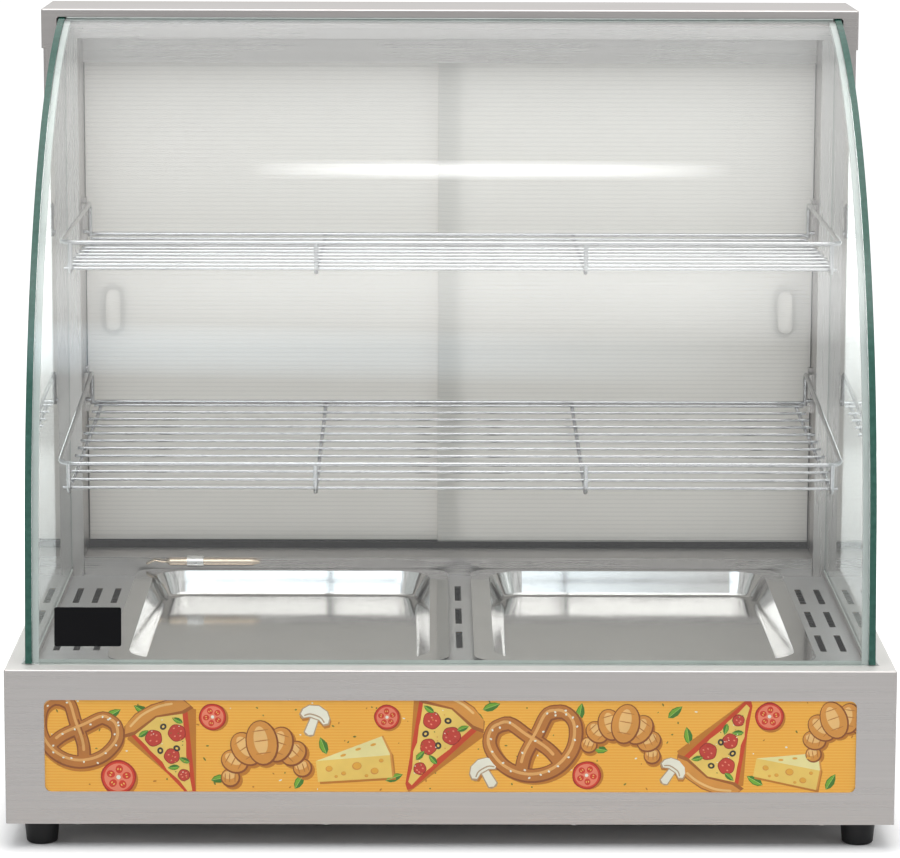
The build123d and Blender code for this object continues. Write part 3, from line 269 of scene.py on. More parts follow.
def brushed(name, colour, along, rough=0.28, grain=0.6, level=0.16, satin=0.0):
    """Brushed sheet: fine streaks along one axis, faint wear, duller where level, and paler where
    level by a painted sheen.
    """
    t = Finish(name)
    across, _, upward = t.facing()
    flat = t.math("GREATER_THAN", upward, 0.9)
    side = t.math("GREATER_THAN", t.math("ABSOLUTE", across), 0.7)

    def streaks(density, detail, roughness):
        scale = [density[0]] * 3
        scale["XYZ".index(along)] = density[1]
        return t.noise(1.0, detail, roughness, t.turned(tuple(scale), side))

    fine = t.math("MULTIPLY", streaks(FINE_STREAKS, 3.0, 0.6), 0.6)
    broad = t.math("MULTIPLY", streaks(BROAD_STREAKS, 2.0, 0.5), 0.4)
    both = t.math("ADD", fine, broad)
    light = tuple(min(1.0, c) for c in scaled(colour, 1 + 0.08 * grain))
    tone = t.ramp(both, (0.30, scaled(colour, 1 - 0.10 * grain)), (0.70, light))
    wear = t.math("MULTIPLY", t.math("SUBTRACT", t.noise(7.0, 3.0, 0.55), 0.5), 0.10)
    streak = t.math("MULTIPLY_ADD", both, 0.16 * grain, rough - 0.08 * grain)
    wear = t.math("ADD", streak, wear)
    wear = t.math("ADD", wear, t.math("MULTIPLY", flat, level))
    metal = 1.0
    # Level faces turn paler and less metallic: a painted sheen standing in for overhead light on
    # the brushed top.
    if satin:
        share = t.math("MULTIPLY", flat, satin)
        tone = t.blend(share, tone, (1.0, 0.985, 0.95))
        metal = t.math("SUBTRACT", 1.0, share)
    return t.done(t.principled(Base_Color=tone, Metallic=metal, Roughness=wear,
                               Normal=t.bump(both, 0.10 * grain, 0.0004)))


def polished(name, colour, rough):
    """Bright pressed or drawn metal with faint smears and scratches."""
    t = Finish(name)
    cloud = t.noise(26.0, 4.0, 0.6)
    lines = t.noise(1.0, 2.0, 0.5, t.stretched((30, 400, 400)))
    spread = t.math("ADD", t.math("MULTIPLY", cloud, 0.10), t.math("MULTIPLY", lines, 0.05))
    tone = t.ramp(cloud, (0.35, scaled(colour, 0.94)), (0.65, colour))
    return t.done(t.principled(Base_Color=tone, Metallic=1.0,
                               Roughness=t.math("ADD", spread, rough - 0.07),
                               Normal=t.bump(cloud, 0.03, 0.001)))


def moulded(name, colour, rough=0.45, fine=600.0, strength=0.08, metal=0.0, shine=0.5):
    """Moulded plastic or rubber with a fine grain."""
    t = Finish(name)
    cloud = t.noise(30.0, 3.0, 0.6)
    tone = t.ramp(cloud, (0.30, scaled(colour, 0.86)), (0.70, colour))
    wear = t.math("ADD", t.math("MULTIPLY", cloud, 0.16), rough - 0.08)
    return t.done(t.principled(Base_Color=tone, Metallic=metal, Roughness=wear,
                               Specular_IOR_Level=shine,
                               Normal=t.bump(t.noise(fine, 3.0, 0.6), strength, 0.0003)))


def pane(name, tint, across):
    """Float glass: clear through its faces, green in its ground edges, and open to lamps."""
    t = Finish(name)
    smear = t.math("SUBTRACT", t.noise(14.0, 4.0, 0.6), 0.55)
    haze = t.math("MULTIPLY", t.math("MAXIMUM", smear, 0.0), 0.06)
    glass = t.principled(Base_Color=tint, Roughness=haze, IOR=1.45, Transmission_Weight=1.0)
    clear = t.shader("BsdfTransparent", Color=(0.93, 0.955, 0.945))
    path = t.add("ShaderNodeLightPath").outputs
    lamp_ray = t.math("MAXIMUM", path["Is Shadow Ray"], path["Is Diffuse Ray"])
    ground = t.noise(1.0, 3.0, 0.6, t.stretched((240, 240, 240)))
    tone = t.ramp(ground, (0.30, (0.014, 0.085, 0.062)), (0.70, (0.032, 0.130, 0.098)))
    edge_shader = t.principled(Base_Color=tone, Roughness=0.16, IOR=1.45)
    sideways = t.math("ABSOLUTE", t.facing()[0])
    is_edge = t.math("LESS_THAN" if across == "X" else "GREATER_THAN", sideways, 0.5)
    return t.done(t.mixed(is_edge, t.mixed(lamp_ray, glass, clear), edge_shader))


def frosted(name, ribs=True):
    """Frosted translucent plastic, with level ribs inside where it is twin-wall sheet."""
    t = Finish(name)
    rib = t.math("MULTIPLY", t.math("POWER", t.bands(RIB_PITCH), 4.0), 1.0 if ribs else 0.0)
    tone = t.ramp(rib, (0.0, (0.87, 0.84, 0.81)), (1.0, (0.72, 0.70, 0.68)))
    body = t.mixed(0.34, t.principled(Base_Color=tone, Roughness=0.30),
                   t.shader("BsdfTranslucent", Color=tone))
    clear = t.shader("BsdfTransparent", Color=(0.90, 0.91, 0.91))
    cloud = t.noise(3.0, 3.0, 0.6, t.stretched((2, 2, 9)))
    solid = t.math("ADD", t.math("MULTIPLY", rib, 0.10), t.math("MULTIPLY", cloud, 0.08))
    return t.done(t.mixed(t.math("ADD", solid, 0.88), clear, body))


def striped_print(name):
    """Printed sheet: warm ground with fine paler stripes and a faint uneven tone."""
    t = Finish(name)
    cloud = t.noise(9.0, 3.0, 0.5, t.stretched((1, 1, 2)))
    stripe = t.math("MULTIPLY", t.bands(STRIPE_PITCH), 0.7)
    value = t.math("ADD", stripe, t.math("MULTIPLY", cloud, 0.5))
    tone = t.ramp(value, (0.15, (0.95, 0.420, 0.042)), (0.95, (1.0, 0.540, 0.085)))
    return t.done(t.principled(Base_Color=tone, Roughness=0.30))


def lens(name, first, second):
    """Tinted lamp lenses, one colour each side of the middle between them."""
    t = Finish(name)
    side = t.math("GREATER_THAN", t.axes()[0], middle("indicator_lamps")[0])
    tone = t.blend(side, first, second)
    cloud = t.noise(300.0, 2.0, 0.5)
    deep = t.blend(t.math("MULTIPLY", cloud, 0.3), tone, (0.01, 0.01, 0.01))
    return t.done(t.principled(Base_Color=deep, Roughness=0.12))


def paint(material, *names):
    """Gives one material to CAD nodes."""
    for name in names:
        slots = nodes[name].material_slots
        if not slots:
            nodes[name].data.materials.append(material)
            continue
        for slot in slots:
            slot.link = "OBJECT"
            slot.material = material


def dress_nodes():
    """Gives every CAD node its finish."""
    steel = (0.44, 0.42, 0.41)
    across = brushed("steel_across", steel, "X")
    upright = brushed("steel_upright", steel, "Z")
    inside = brushed("steel_inside", (0.50, 0.50, 0.50), "X", 0.40)
    paint(across, "top_cap", "rear_sill", "rear_panel", "lamp_housing", "glass_clips")
    # The base's level faces carry a painted sheen of overhead light.
    paint(brushed("steel_base", steel, "X", level=0.34, satin=0.5), "base_housing")
    # The rail's steel is a darker copy of the other steel: painted shade for its shaded front face.
    paint(brushed("steel_rail_painted_shade", (0.38, 0.365, 0.355), "X"), "door_rail")
    paint(brushed("steel_deck", (0.55, 0.54, 0.54), "X", 0.26), "deck_plate")
    paint(upright, "post_left", "post_right", "shelf_hangers")
    paint(inside, "bottom_panel", "print_holders", "heat_shield")
    paint(polished("pan_steel", (0.54, 0.53, 0.52), 0.09), "food_pan_left", "food_pan_right")
    paint(polished("shelf_wire", (0.40, 0.40, 0.41), 0.10), "upper_shelf", "lower_shelf")
    paint(polished("fastener_steel", (0.62, 0.61, 0.60), 0.26), "bottom_screws", "foot_screws",
          "foot_nuts", "cap_screws", "lamp_clips", "hanger_rivets", "bulb_clip",
          "thermostat_shaft", "earth_stud", "heater_brackets", "rear_panel_screws")
    paint(pane("front_pane", (0.975, 0.99, 0.985), "Y"), "front_glass")
    # The side panes are tinted darker than the front one: painted shade for the greyer surroundings
    # seen through them.
    paint(pane("side_pane_painted_shade", (0.80, 0.85, 0.84), "X"), "side_glass_left", "side_glass_right")
    paint(moulded("clear_silicone", (0.72, 0.76, 0.74), 0.30), "corner_seals", "top_gasket")
    paint(moulded("bedding_silicone", (0.60, 0.64, 0.61), 0.35), "glass_seals")
    paint(moulded("foot_rubber", (0.012, 0.012, 0.013), 0.50, shine=0.3), "rubber_feet")
    paint(moulded("black_plastic", (0.022, 0.022, 0.024), 0.40), "thermostat_knob",
          "rocker_switches", "cable_gland")
    paint(moulded("track_plastic", (0.010, 0.010, 0.011), 0.50, shine=0.08), "lower_track")
    paint(moulded("rocker_plastic", (0.030, 0.030, 0.032), 0.25), "power_rocker", "light_rocker")
    paint(moulded("grey_plastic", (0.42, 0.42, 0.42), 0.40), "rail_liner")
    paint(frosted("pull_plastic", False), "finger_pull_left", "finger_pull_right")
    paint(moulded("white_plastic", (0.78, 0.78, 0.75), 0.40), "lamp_strip", "lamp_diffuser",
          "thermostat_body", "terminal_block")
    paint(moulded("badge_black", (0.006, 0.006, 0.007), 0.45, shine=0.08), "badge_plate")
    paint(striped_print("print_sheet"), "print_panel")
    paint(frosted("door_sheet"), "door_left", "door_right")
    paint(polished("sensor_metal", (0.60, 0.50, 0.40), 0.24), "thermostat_bulb",
          "capillary_tube")
    paint(polished("lamp_metal", (0.74, 0.74, 0.75), 0.30), "lamp_bar", "dial_plate")
    paint(moulded("element_sheath", (0.09, 0.085, 0.08), 0.5, metal=0.7), "heater_left",
          "heater_right")
    paint(lens("lamp_lens", (0.62, 0.045, 0.03), (0.03, 0.36, 0.06)), "indicator_lamps")


def smooth_nodes():
    """Rounds the shading of curved CAD nodes and keeps their folds sharp."""
    for node in nodes.values():
        for face in node.data.polygons:
            face.use_smooth = True
        node.data.set_sharp_from_angle(angle=math.radians(28))


def new_object(name, data):
    """An object in the scene for a mesh, lamp or camera."""
    thing = bpy.data.objects.new(name, data)
    bpy.context.scene.collection.objects.link(thing)
    return thing


def add_piece(name, points, faces, materials, body):
    """A mesh piece that rides on a body."""
    mesh = bpy.data.meshes.new(name)
    mesh.from_pydata(points, [], faces)
    for material in materials:
        mesh.materials.append(material)
    piece = new_object(name, mesh)
    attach(piece, body)
    return piece


# Printed motifs, drawn in millimetres about the window's middle

def moved(points, x, z):
    """An outline moved along X and Z."""
    return [(p + x, q + z) for p, q in points]


def area(points):
    """Twice the area inside an outline, less than 0 where it runs clockwise."""
    return sum(a[0] * b[1] - b[0] * a[1] for a, b in zip(points, points[1:] + points[:1]))


def clipped(points, window):
    """The part of an outline inside a convex window."""
    for start, end in zip(window, window[1:] + window[:1]):
        kept = []
        along = (end[0] - start[0], end[1] - start[1])

        def inside(point):
            return along[0] * (point[1] - start[1]) - along[1] * (point[0] - start[0])

        for here, there in zip(points, points[1:] + points[:1]):
            a, b = inside(here), inside(there)
            if a >= 0:
                kept.append(here)
            if (a > 0 > b) or (a < 0 < b):
                share = a / (a - b)
                kept.append((here[0] + share * (there[0] - here[0]),
                             here[1] + share * (there[1] - here[1])))
        points = kept
        if len(points) < 3:
            return []
    return points


def window_outline():
    """The window's outline, counter-clockwise, with rounded corners."""
    points = []
    for quarter, (sx, sz) in enumerate(((1, 1), (-1, 1), (-1, -1), (1, -1))):
        for step in range(5):
            angle = math.pi / 2 * (quarter + step / 4)
            points.append((sx * (WINDOW_HALF - WINDOW_CORNER) + WINDOW_CORNER * math.cos(angle),
                           sz * (WINDOW_HIGH - WINDOW_CORNER) + WINDOW_CORNER * math.sin(angle)))
    return points


def oval(rx, rz, x=0.0, z=0.0, turn=0.0, wobble=0.0, bumps=5, count=26):
    """An ellipse, or a wavy-edged one."""
    points = []
    c, s = math.cos(math.radians(turn)), math.sin(math.radians(turn))
    for number in range(count):
        angle = 2 * math.pi * number / count
        grow = 1 + wobble * math.sin(bumps * angle)
        p, q = rx * grow * math.cos(angle), rz * grow * math.sin(angle)
        points.append((x + c * p - s * q, z + s * p + c * q))
    return points


def smooth_path(points, steps=5):
    """A rounded path through the points."""
    path = []
    for number in range(len(points) - 1):
        before = points[max(number - 1, 0)]
        here, there = points[number], points[number + 1]
        after = points[min(number + 2, len(points) - 1)]
        for step in range(steps):
            t = step / steps
            path.append(tuple(
                0.5 * (2 * b + (c - a) * t + (2 * a - 5 * b + 4 * c - d) * t * t
                       + (3 * b - a - 3 * c + d) * t ** 3)
                for a, b, c, d in zip(before, here, there, after)))
    return path + [points[-1]]


class Print:
    """Flat printed shapes, each a hair in front of the one drawn before it."""

    def __init__(self, inks, rng):
        self.inks = list(inks)
        self.rng = rng
        self.window = window_outline()
        self.points, self.faces, self.used = [], [], []
        self.frame = (0.0, 0.0, 0.0, 1.0)
        self.layer = 1

    def at(self, x, z, turn=0.0, scale=1.0, layer=2):
        """Sets where the next motif goes."""
        self.frame = (x, z, math.radians(turn), scale)
        self.layer = layer

    def shape(self, ink, points, level=False):
        """Adds an outline; a level one stays in the layer of the one before it."""
        if not level:
            self.layer += 1
        x, z, turn, scale = self.frame
        c, s = math.cos(turn) * scale, math.sin(turn) * scale
        placed = [(x + c * p - s * q, z + s * p + c * q) for p, q in points]
        placed = clipped(placed, self.window)
        if not placed:
            return
        if area(placed) < 0:
            placed.reverse()
        start = len(self.points)
        depth = PRINT_FRONT - INK_LAYER * self.layer / 1000
        self.points += [(p / 1000, depth, PRINT_MIDDLE + q / 1000) for p, q in placed]
        self.faces.append(tuple(range(start, start + len(placed))))
        self.used.append(self.inks.index(ink))

    def stroke(self, ink, path, width):
        """A round-ended line along a path that doesn't cross itself."""
        left, right, caps = [], [], {}
        for number, (p, q) in enumerate(path):
            before = path[max(number - 1, 0)]
            after = path[min(number + 1, len(path) - 1)]
            along = math.atan2(after[1] - before[1], after[0] - before[0])
            c, s = math.cos(along) * width / 2, math.sin(along) * width / 2
            if number in (0, len(path) - 1):
                side = -1 if number == 0 else 1
                caps[side] = [(p + side * (c * math.sin(t) + side * s * math.cos(t)),
                               q + side * (s * math.sin(t) - side * c * math.cos(t)))
                              for t in (math.pi * step / 8 for step in range(1, 8))]
            right.append((p + s, q - c))
            left.append((p - s, q + c))
        self.shape(ink, right + caps[1] + left[::-1] + caps[-1][::-1])


def draw_leaf(art, x, z, turn, scale=1.0):
    """A pointed leaf with a pale vein."""
    c, s = math.cos(math.radians(turn)), math.sin(math.radians(turn))

    def put(points):
        return [(x + scale * (c * p - s * q), z + scale * (s * p + c * q)) for p, q in points]

    art.shape("leaf_dark", put([(-7, 0), (-4, 2.6), (0, 3.4), (4, 2.3), (7.5, 0), (4, -2.3),
                                (0, -3.4), (-4, -2.6)]))
    art.shape("leaf", put([(-6, 0.3), (-3.6, 2.0), (0, 2.7), (3.8, 1.7), (7, 0.2), (0, 0.2)]))
    art.stroke("leaf_pale", put([(-6.4, 0), (6.2, 0)]), 0.35 * scale)


def draw_pizza(art):
    """A slice of pizza, its tip down."""
    rind = [(-25, 19), (-22, 26), (-12, 31), (0, 32.5), (12, 31), (22, 26), (25, 19), (18, 18),
            (0, 23), (-18, 18)]
    sauce = [(-21, 20), (-3, -33), (0, -36), (3, -33), (21, 20), (0, 26)]
    cheese = [(-18, 19), (-14, 8), (-13, 4), (-9, -6), (-8.5, -12), (-4, -22), (-2, -31),
              (1, -32), (3, -24), (6.5, -15), (7, -9), (11, 0), (12, 5), (17, 19), (8, 22.5),
              (0, 23.5), (-8, 22.5)]
    art.shape("shade", moved([(-25, 19), (-12, 31), (12, 31), (25, 19), (0, -36)], *SHADE_SHIFT))
    art.shape("sauce", sauce)
    art.shape("cheese", cheese)
    art.shape("rind_dark", rind)
    art.shape("rind", [(p * 0.95, (q - 25) * 0.78 + 25.8) for p, q in rind])
    art.stroke("rind_pale", smooth_path([(-18, 24.6), (-8, 28.4), (4, 29.2), (13, 27.4)]), 1.5)
    rounds = ((-7.5, 11, 5.2), (8, 8, 5.4), (-1.5, -5, 4.8), (0.4, -20, 3.6))
    for x, z, r in rounds:
        art.shape("salami_dark", oval(r + 0.5, r + 0.5, x, z, wobble=0.03))
        art.shape("salami", oval(r, r, x, z, wobble=0.03))
    art.layer += 1
    for x, z, r in rounds:
        for number in range(4):
            angle = math.radians(90 * number) + art.rng.uniform(0, 1)
            far = r * art.rng.uniform(0.3, 0.7)
            art.shape("salami_pale", oval(0.7, 0.5, x + far * math.cos(angle),
                                          z + far * math.sin(angle), count=8), True)
    for x, z, turn in ((1.5, 15.5, 20), (3.6, -1.5, -50), (-7, 1.5, 70)):
        art.shape("olive", oval(2.3, 2.0, x, z, turn))
        art.shape("cheese", oval(0.95, 0.8, x, z, turn, count=12))
    for x, z in ((-12.5, 16.5), (12, 15.5), (-3.4, -12.5), (5, -11)):
        draw_leaf(art, x, z, art.rng.uniform(0, 180), 0.55)
    art.layer += 1
    for number in range(22):
        z = 20 - number * 2.1
        x = art.rng.uniform(-1, 1) * (z + 34) * 0.26
        art.shape(art.rng.choice(("rind", "cream", "herb")), oval(0.5, 0.35, x, z, count=6),
                  True)


def draw_pretzel(art):
    """A knotted pretzel with salt on it."""
    arm = smooth_path([(-12, -17), (-7, -7), (3, 4), (12, 14), (21, 13)])
    loop = smooth_path([(12, 14), (21, 13), (26, 4), (22, -9), (12, -18), (0, -21), (-12, -18),
                        (-22, -9), (-26, 4), (-21, 13), (-12, 14)])
    ropes = (arm, loop, [(-p, q) for p, q in arm])
    for rope in ropes:
        art.stroke("shade", moved(rope, *SHADE_SHIFT), 8.6)
    for rope in ropes:
        art.stroke("bake_dark", rope, 8.8)
    for rope in ropes:
        art.stroke("bake", moved(rope, -0.2, 0.3), 7.0)
    art.stroke("bake_dark", [(-2.2, 6.4), (4.6, -0.9)], 0.8)
    for rope in ropes:
        art.stroke("bake_pale", moved(rope[3:-3], -0.7, 1.2), 1.8)
    art.layer += 1
    for point in arm[2::3] + loop[2::3]:
        x, z = (place + art.rng.uniform(-2.2, 2.2) for place in point)
        art.shape("cream", oval(0.85, 0.65, x, z, art.rng.uniform(0, 180), count=6), True)


def draw_croissant(art):
    """A curved roll of seven lobes."""
    lobes = []
    for number in (-3, 3, -2, 2, -1, 1, 0):
        angle = math.radians(number * 27)
        lobes.append((9.4 - abs(number) * 1.25, 13.4 - abs(number) * 2.6, 21 * math.sin(angle),
                      21 * math.cos(angle) - 13, -number * 27))
    for rx, rz, x, z, turn in lobes:
        art.shape("shade", moved(oval(rx, rz, x, z, turn), *SHADE_SHIFT))
    for rx, rz, x, z, turn in lobes:
        art.shape("bake_dark", oval(rx, rz, x, z, turn))
        art.shape("rind", oval(rx - 0.9, rz - 0.8, x - 0.2, z + 0.3, turn))
        art.shape("rind_pale", oval(rx * 0.42, rz * 0.62, x - 0.6, z + 1.6, turn))
        art.layer += 1
        for share in (-0.45, 0.1, 0.55):
            up = math.radians(90 + turn)
            art.shape("bake", oval(rx * 0.5, 0.35, x + rz * share * math.cos(up),
                                   z + rz * share * math.sin(up), turn, count=10), True)


def draw_tomato(art):
    """A round slice of tomato."""
    art.shape("shade", moved(oval(12, 12), *SHADE_SHIFT))
    art.shape("tomato_dark", oval(12, 12, wobble=0.015))
    art.shape("tomato", oval(10.9, 10.9))
    art.shape("tomato_pale", oval(9.6, 9.6))
    art.shape("cream", oval(1.5, 1.5, count=12))
    for number in range(5):
        angle = math.radians(72 * number + 12)
        x, z = 5.6 * math.cos(angle), 5.6 * math.sin(angle)
        art.shape("tomato", oval(2.9, 2.5, x, z, 72 * number + 12, count=14), True)
    art.layer += 1
    for number in range(5):
        angle = math.radians(72 * number + 12)
        for side in (-0.9, 0.9):
            art.shape("cheese", oval(0.75, 0.45, 5.6 * math.cos(angle) - side * math.sin(angle),
                                     5.6 * math.sin(angle) + side * math.cos(angle),
                                     72 * number + 12, count=8), True)


def draw_cheese(art):
    """A wedge of cheese with holes."""
    art.shape("shade", moved([(-24, 3), (20, 15), (25, 3), (25, -13), (-24, -11)], *SHADE_SHIFT))
    art.shape("cheese_pale", [(-24, 3), (24, 2), (24, 3), (20, 15)])
    art.shape("cheese", [(-24, 3), (-24, -11), (24, -13), (24, 2)], True)
    art.shape("rind", [(20, 15), (24, 3), (24, -13), (25.2, -12), (25.2, 4), (21, 15.4)])
    holes = ((-16, -3, 2.3), (-7, -7, 1.6), (2, -3, 3.1), (13, -7.5, 2.6), (18, -1, 1.5),
             (-12, -8.5, 1.1), (7.5, -10, 1.2))
    for x, z, r in holes:
        art.shape("rind", oval(r, r * 0.85, x, z, count=16))
        art.shape("cheese_dark", oval(r * 0.82, r * 0.66, x + 0.2, z + 0.2, count=16))
    art.layer += 1
    for x, z in ((4, 8), (14, 10), (-6, 5)):
        art.shape("cheese_dark", oval(1.9, 0.8, x, z, 10, count=14), True)


def draw_mushroom(art):
    """A halved mushroom."""
    cap = [(-12.5, 0), (-9, -2.4), (-4, 0.4), (4, 0.4), (9, -2.4), (12.5, 0), (12, 5), (8, 10),
           (0, 12.4), (-8, 10), (-12, 5)]
    art.shape("shade", moved(cap, *SHADE_SHIFT))
    art.shape("mushroom_dark", [(-3.6, 2), (-4.4, -12), (-2, -14), (2, -14), (4.4, -12), (3.6, 2)])
    art.shape("cream", [(-2.8, 2), (-3.4, -11.5), (0, -13), (3.4, -11.5), (2.8, 2)])
    art.shape("mushroom_dark", cap)
    art.shape("cream", [(p * 0.9, q * 0.86 + 1.0) for p, q in cap])
    art.stroke("mushroom_dark", smooth_path([(-8, 0.8), (-4, 3.4), (4, 3.4), (8, 0.8)]), 1.1)


def make_print(rng):
    """Printed food motifs on the sheet behind the window."""
    inks = {
        "shade": (0.616, 0.224, 0.022), "sauce": (0.694, 0.067, 0.017),
        "cheese": (1, 0.694, 0.157), "cheese_pale": (1, 0.896, 0.403),
        "cheese_dark": (0.918, 0.47, 0.056), "rind": (0.806, 0.347, 0.062),
        "rind_dark": (0.426, 0.134, 0.022), "rind_pale": (1, 0.616, 0.224),
        "salami": (0.65, 0.056, 0.034), "salami_dark": (0.336, 0.022, 0.013),
        "salami_pale": (0.918, 0.314, 0.202), "olive": (0.039, 0.034, 0.028),
        "leaf": (0.19, 0.47, 0.034), "leaf_dark": (0.056, 0.224, 0.022),
        "leaf_pale": (0.504, 0.762, 0.179), "herb": (0.179, 0.19, 0.022),
        "bake": (0.582, 0.213, 0.039), "bake_dark": (0.302, 0.084, 0.016),
        "bake_pale": (0.896, 0.47, 0.146), "cream": (1, 0.986, 0.829),
        "tomato": (0.784, 0.05, 0.022), "tomato_dark": (0.47, 0.022, 0.013),
        "tomato_pale": (0.963, 0.269, 0.157), "mushroom_dark": (0.56, 0.403, 0.246),
    }
    art = Print(inks, rng)
    for number in range(SPECKS):
        art.at(FIRST_SPECK + SPECK_STEP * number + rng.uniform(-1, 1), rng.uniform(-34, 34),
               rng.uniform(0, 180), rng.uniform(0.7, 1.4), 0)
        art.shape(rng.choice(("herb", "shade", "cream", "herb")),
                  oval(rng.uniform(0.5, 1.3), 0.5, count=7))
    motifs = (
        (draw_pretzel, -276, 12, -24, 1.15), (draw_tomato, -246, -24, 0, 1.1),
        (draw_pizza, -207, -2, 24, 1.12), (draw_tomato, -176, 22, 30, 0.85),
        (draw_croissant, -138, -8, 8, 1.3), (draw_mushroom, -101, 20, -20, 0.95),
        (draw_cheese, -72, -12, 6, 1.15), (draw_tomato, -47, 22, 10, 0.8),
        (draw_pizza, -12, 4, -28, 1.18), (draw_mushroom, 26, -20, 30, 0.95),
        (draw_pretzel, 62, 4, 14, 1.25), (draw_tomato, 101, -22, 50, 0.9),
        (draw_croissant, 128, 8, -10, 1.15), (draw_mushroom, 164, -19, -35, 0.85),
        (draw_pizza, 203, 0, 152, 1.12), (draw_tomato, 236, 23, 0, 0.9),
        (draw_cheese, 250, -16, -10, 1.0), (draw_croissant, 287, 12, 20, 1.1),
    )
    for number, (draw, x, z, turn, scale) in enumerate(motifs):
        art.at(x, z, turn, scale, 2 + 0.5 * (number % 2))
        draw(art)
    leaves = (
        (-250, 24, 30), (-228, 27, 150), (-171, -25, 10), (-112, -27, 60), (-94, 0, 110),
        (-42, -24, 20), (20, 22, 130), (30, 30, 20), (96, 26, 80), (110, -2, 170),
        (166, 26, 40), (176, 8, 100), (226, -26, 150), (282, -27, 60),
    )
    for x, z, turn in leaves:
        art.at(x, z, turn, 0.95, 1.25)
        draw_leaf(art, 0, 0, 0)
    materials = [moulded("ink_" + ink, colour, 0.30, 900.0, 0.02) for ink, colour in inks.items()]
    piece = add_piece("print_art", art.points, art.faces, materials, "case")
    for face, ink in zip(piece.data.polygons, art.used):
        face.material_index = ink


# Marks and trim that are too thin for the solids

def glyph(text, size):
    """Points and faces of a short text about its own middle."""
    curve = bpy.data.curves.new("glyph", "FONT")
    curve.body, curve.size = text, size
    curve.align_x, curve.align_y = "CENTER", "CENTER"
    holder = bpy.data.objects.new("glyph", curve)
    mesh = bpy.data.meshes.new_from_object(holder)
    points = [(point.co.x, point.co.y) for point in mesh.vertices]
    faces = [tuple(face.vertices) for face in mesh.polygons]
    bpy.data.objects.remove(holder)
    bpy.data.curves.remove(curve)
    bpy.data.meshes.remove(mesh)
    return points, faces


def bar(inner, outer, width, turn):
    """A straight mark pointing out from the middle, clockwise from straight down."""
    c, s = math.cos(turn), math.sin(turn)
    half = width / 2
    points = [(-s * r + c * side, -c * r - s * side)
              for r, side in ((inner, -half), (outer, -half), (outer, half), (inner, half))]
    return points, [(0, 1, 2, 3)]


def flat_marks(name, shapes, place, up, out, material, body):
    """Flat marks in millimetres on a plane, as they read from in front of it."""
    up, out, place = Vector(up).normalized(), Vector(out).normalized(), Vector(place)
    right = up.cross(out)
    points, faces = [], []
    for outline, sides in shapes:
        start = len(points)
        points += [place + (right * p + up * q + out * MARK_LIFT) / 1000 for p, q in outline]
        for side in sides:
            if area([outline[number] for number in side]) <= 0:
                side = side[::-1]
            faces.append(tuple(start + number for number in side))
    add_piece(name, points, faces, [material], body)


def make_dial_marks():
    """Ticks and numbers on the dial, and the painted line in the knob's groove."""
    ink = moulded("dial_ink", (0.02, 0.02, 0.022), 0.4)
    white = moulded("pointer_paint", (0.82, 0.82, 0.80), 0.4)
    shapes = [bar(TICK_INNER, TICK_OUTER, 0.25, math.radians(DIAL_SWEEP * number / TICKS))
              for number in range(TICKS + 1)]
    for number in range(DIAL_STEPS + 1):
        turn = math.radians(DIAL_SWEEP * number / DIAL_STEPS)
        shapes.append(bar(TICK_INNER, LONG_TICK_OUTER, 0.5, turn))
        points, faces = glyph(str(number), NUMBER_SIZE)
        shapes.append(([(p - NUMBER_RADIUS * math.sin(turn), q - NUMBER_RADIUS * math.cos(turn))
                        for p, q in points], faces))
    x, _, z = middle("dial_plate")
    face = (x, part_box("dial_plate")[1][1], z)
    flat_marks("dial_marks", shapes, face, (0, 0, 1), (0, 1, 0), ink, "case")
    x, _, z = middle("thermostat_knob")
    groove = (x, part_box("thermostat_knob")[1][1] - GROOVE_DEPTH / 1000, z)
    flat_marks("knob_pointer", [bar(POINTER_INNER, POINTER_OUTER, 1.0, 0.0)], groove, (0, 0, 1),
               (0, 1, 0), white, "thermostat_control")


def make_rocker_marks(node):
    """ON and OFF signs on a rocker's two faces."""
    white = moulded(node + "_ink", (0.78, 0.78, 0.76), 0.4)
    x, _, centre = middle(node)
    for sign, name, rise in (("O", "_off", OFF_SIGN_ABOVE), ("I", "_on", -ON_SIGN_BELOW)):
        face = max((face for face in nodes[node].data.polygons
                    if face.normal.y > 0.9 and (face.center.z > centre) == (rise > 0)),
                   key=lambda face: face.area)
        z = centre + rise / 1000
        slope = face.normal.z / face.normal.y
        spot = (x, face.center.y - slope * (z - face.center.z), z)
        out = tuple(face.normal)
        flat_marks(node + name, [glyph(sign, SIGN_SIZE)], spot, (0.0, -out[2], out[1]), out, white,
                   node)


def make_door_strips():
    """Thin pile strips on the posts behind the doors' outer edges."""
    pile = moulded("strip_pile", (0.10, 0.10, 0.10), 0.8, 1500.0, 0.4, shine=0.1)
    low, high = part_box("lower_track")[1][2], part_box("door_rail")[0][2]
    count = len(STRIP_PROFILE)
    for side, door in ((-1, "door_left"), (1, "door_right")):
        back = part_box(door)[1][1] + STRIP_GAP / 1000
        points = [(side * (POST_INNER - inward / 1000), back + depth / 1000, z)
                  for z in (low, high) for inward, depth in STRIP_PROFILE]
        faces = [tuple(range(count)), tuple(range(2 * count - 1, count - 1, -1))]
        faces += [(number, (number + 1) % count, count + (number + 1) % count, count + number)
                  for number in range(count)]
        if side > 0:
            faces = [face[::-1] for face in faces]
        add_piece(door.replace("door", "door_strip"), points, faces, [pile], "case")


# Viewpoint, floor and light

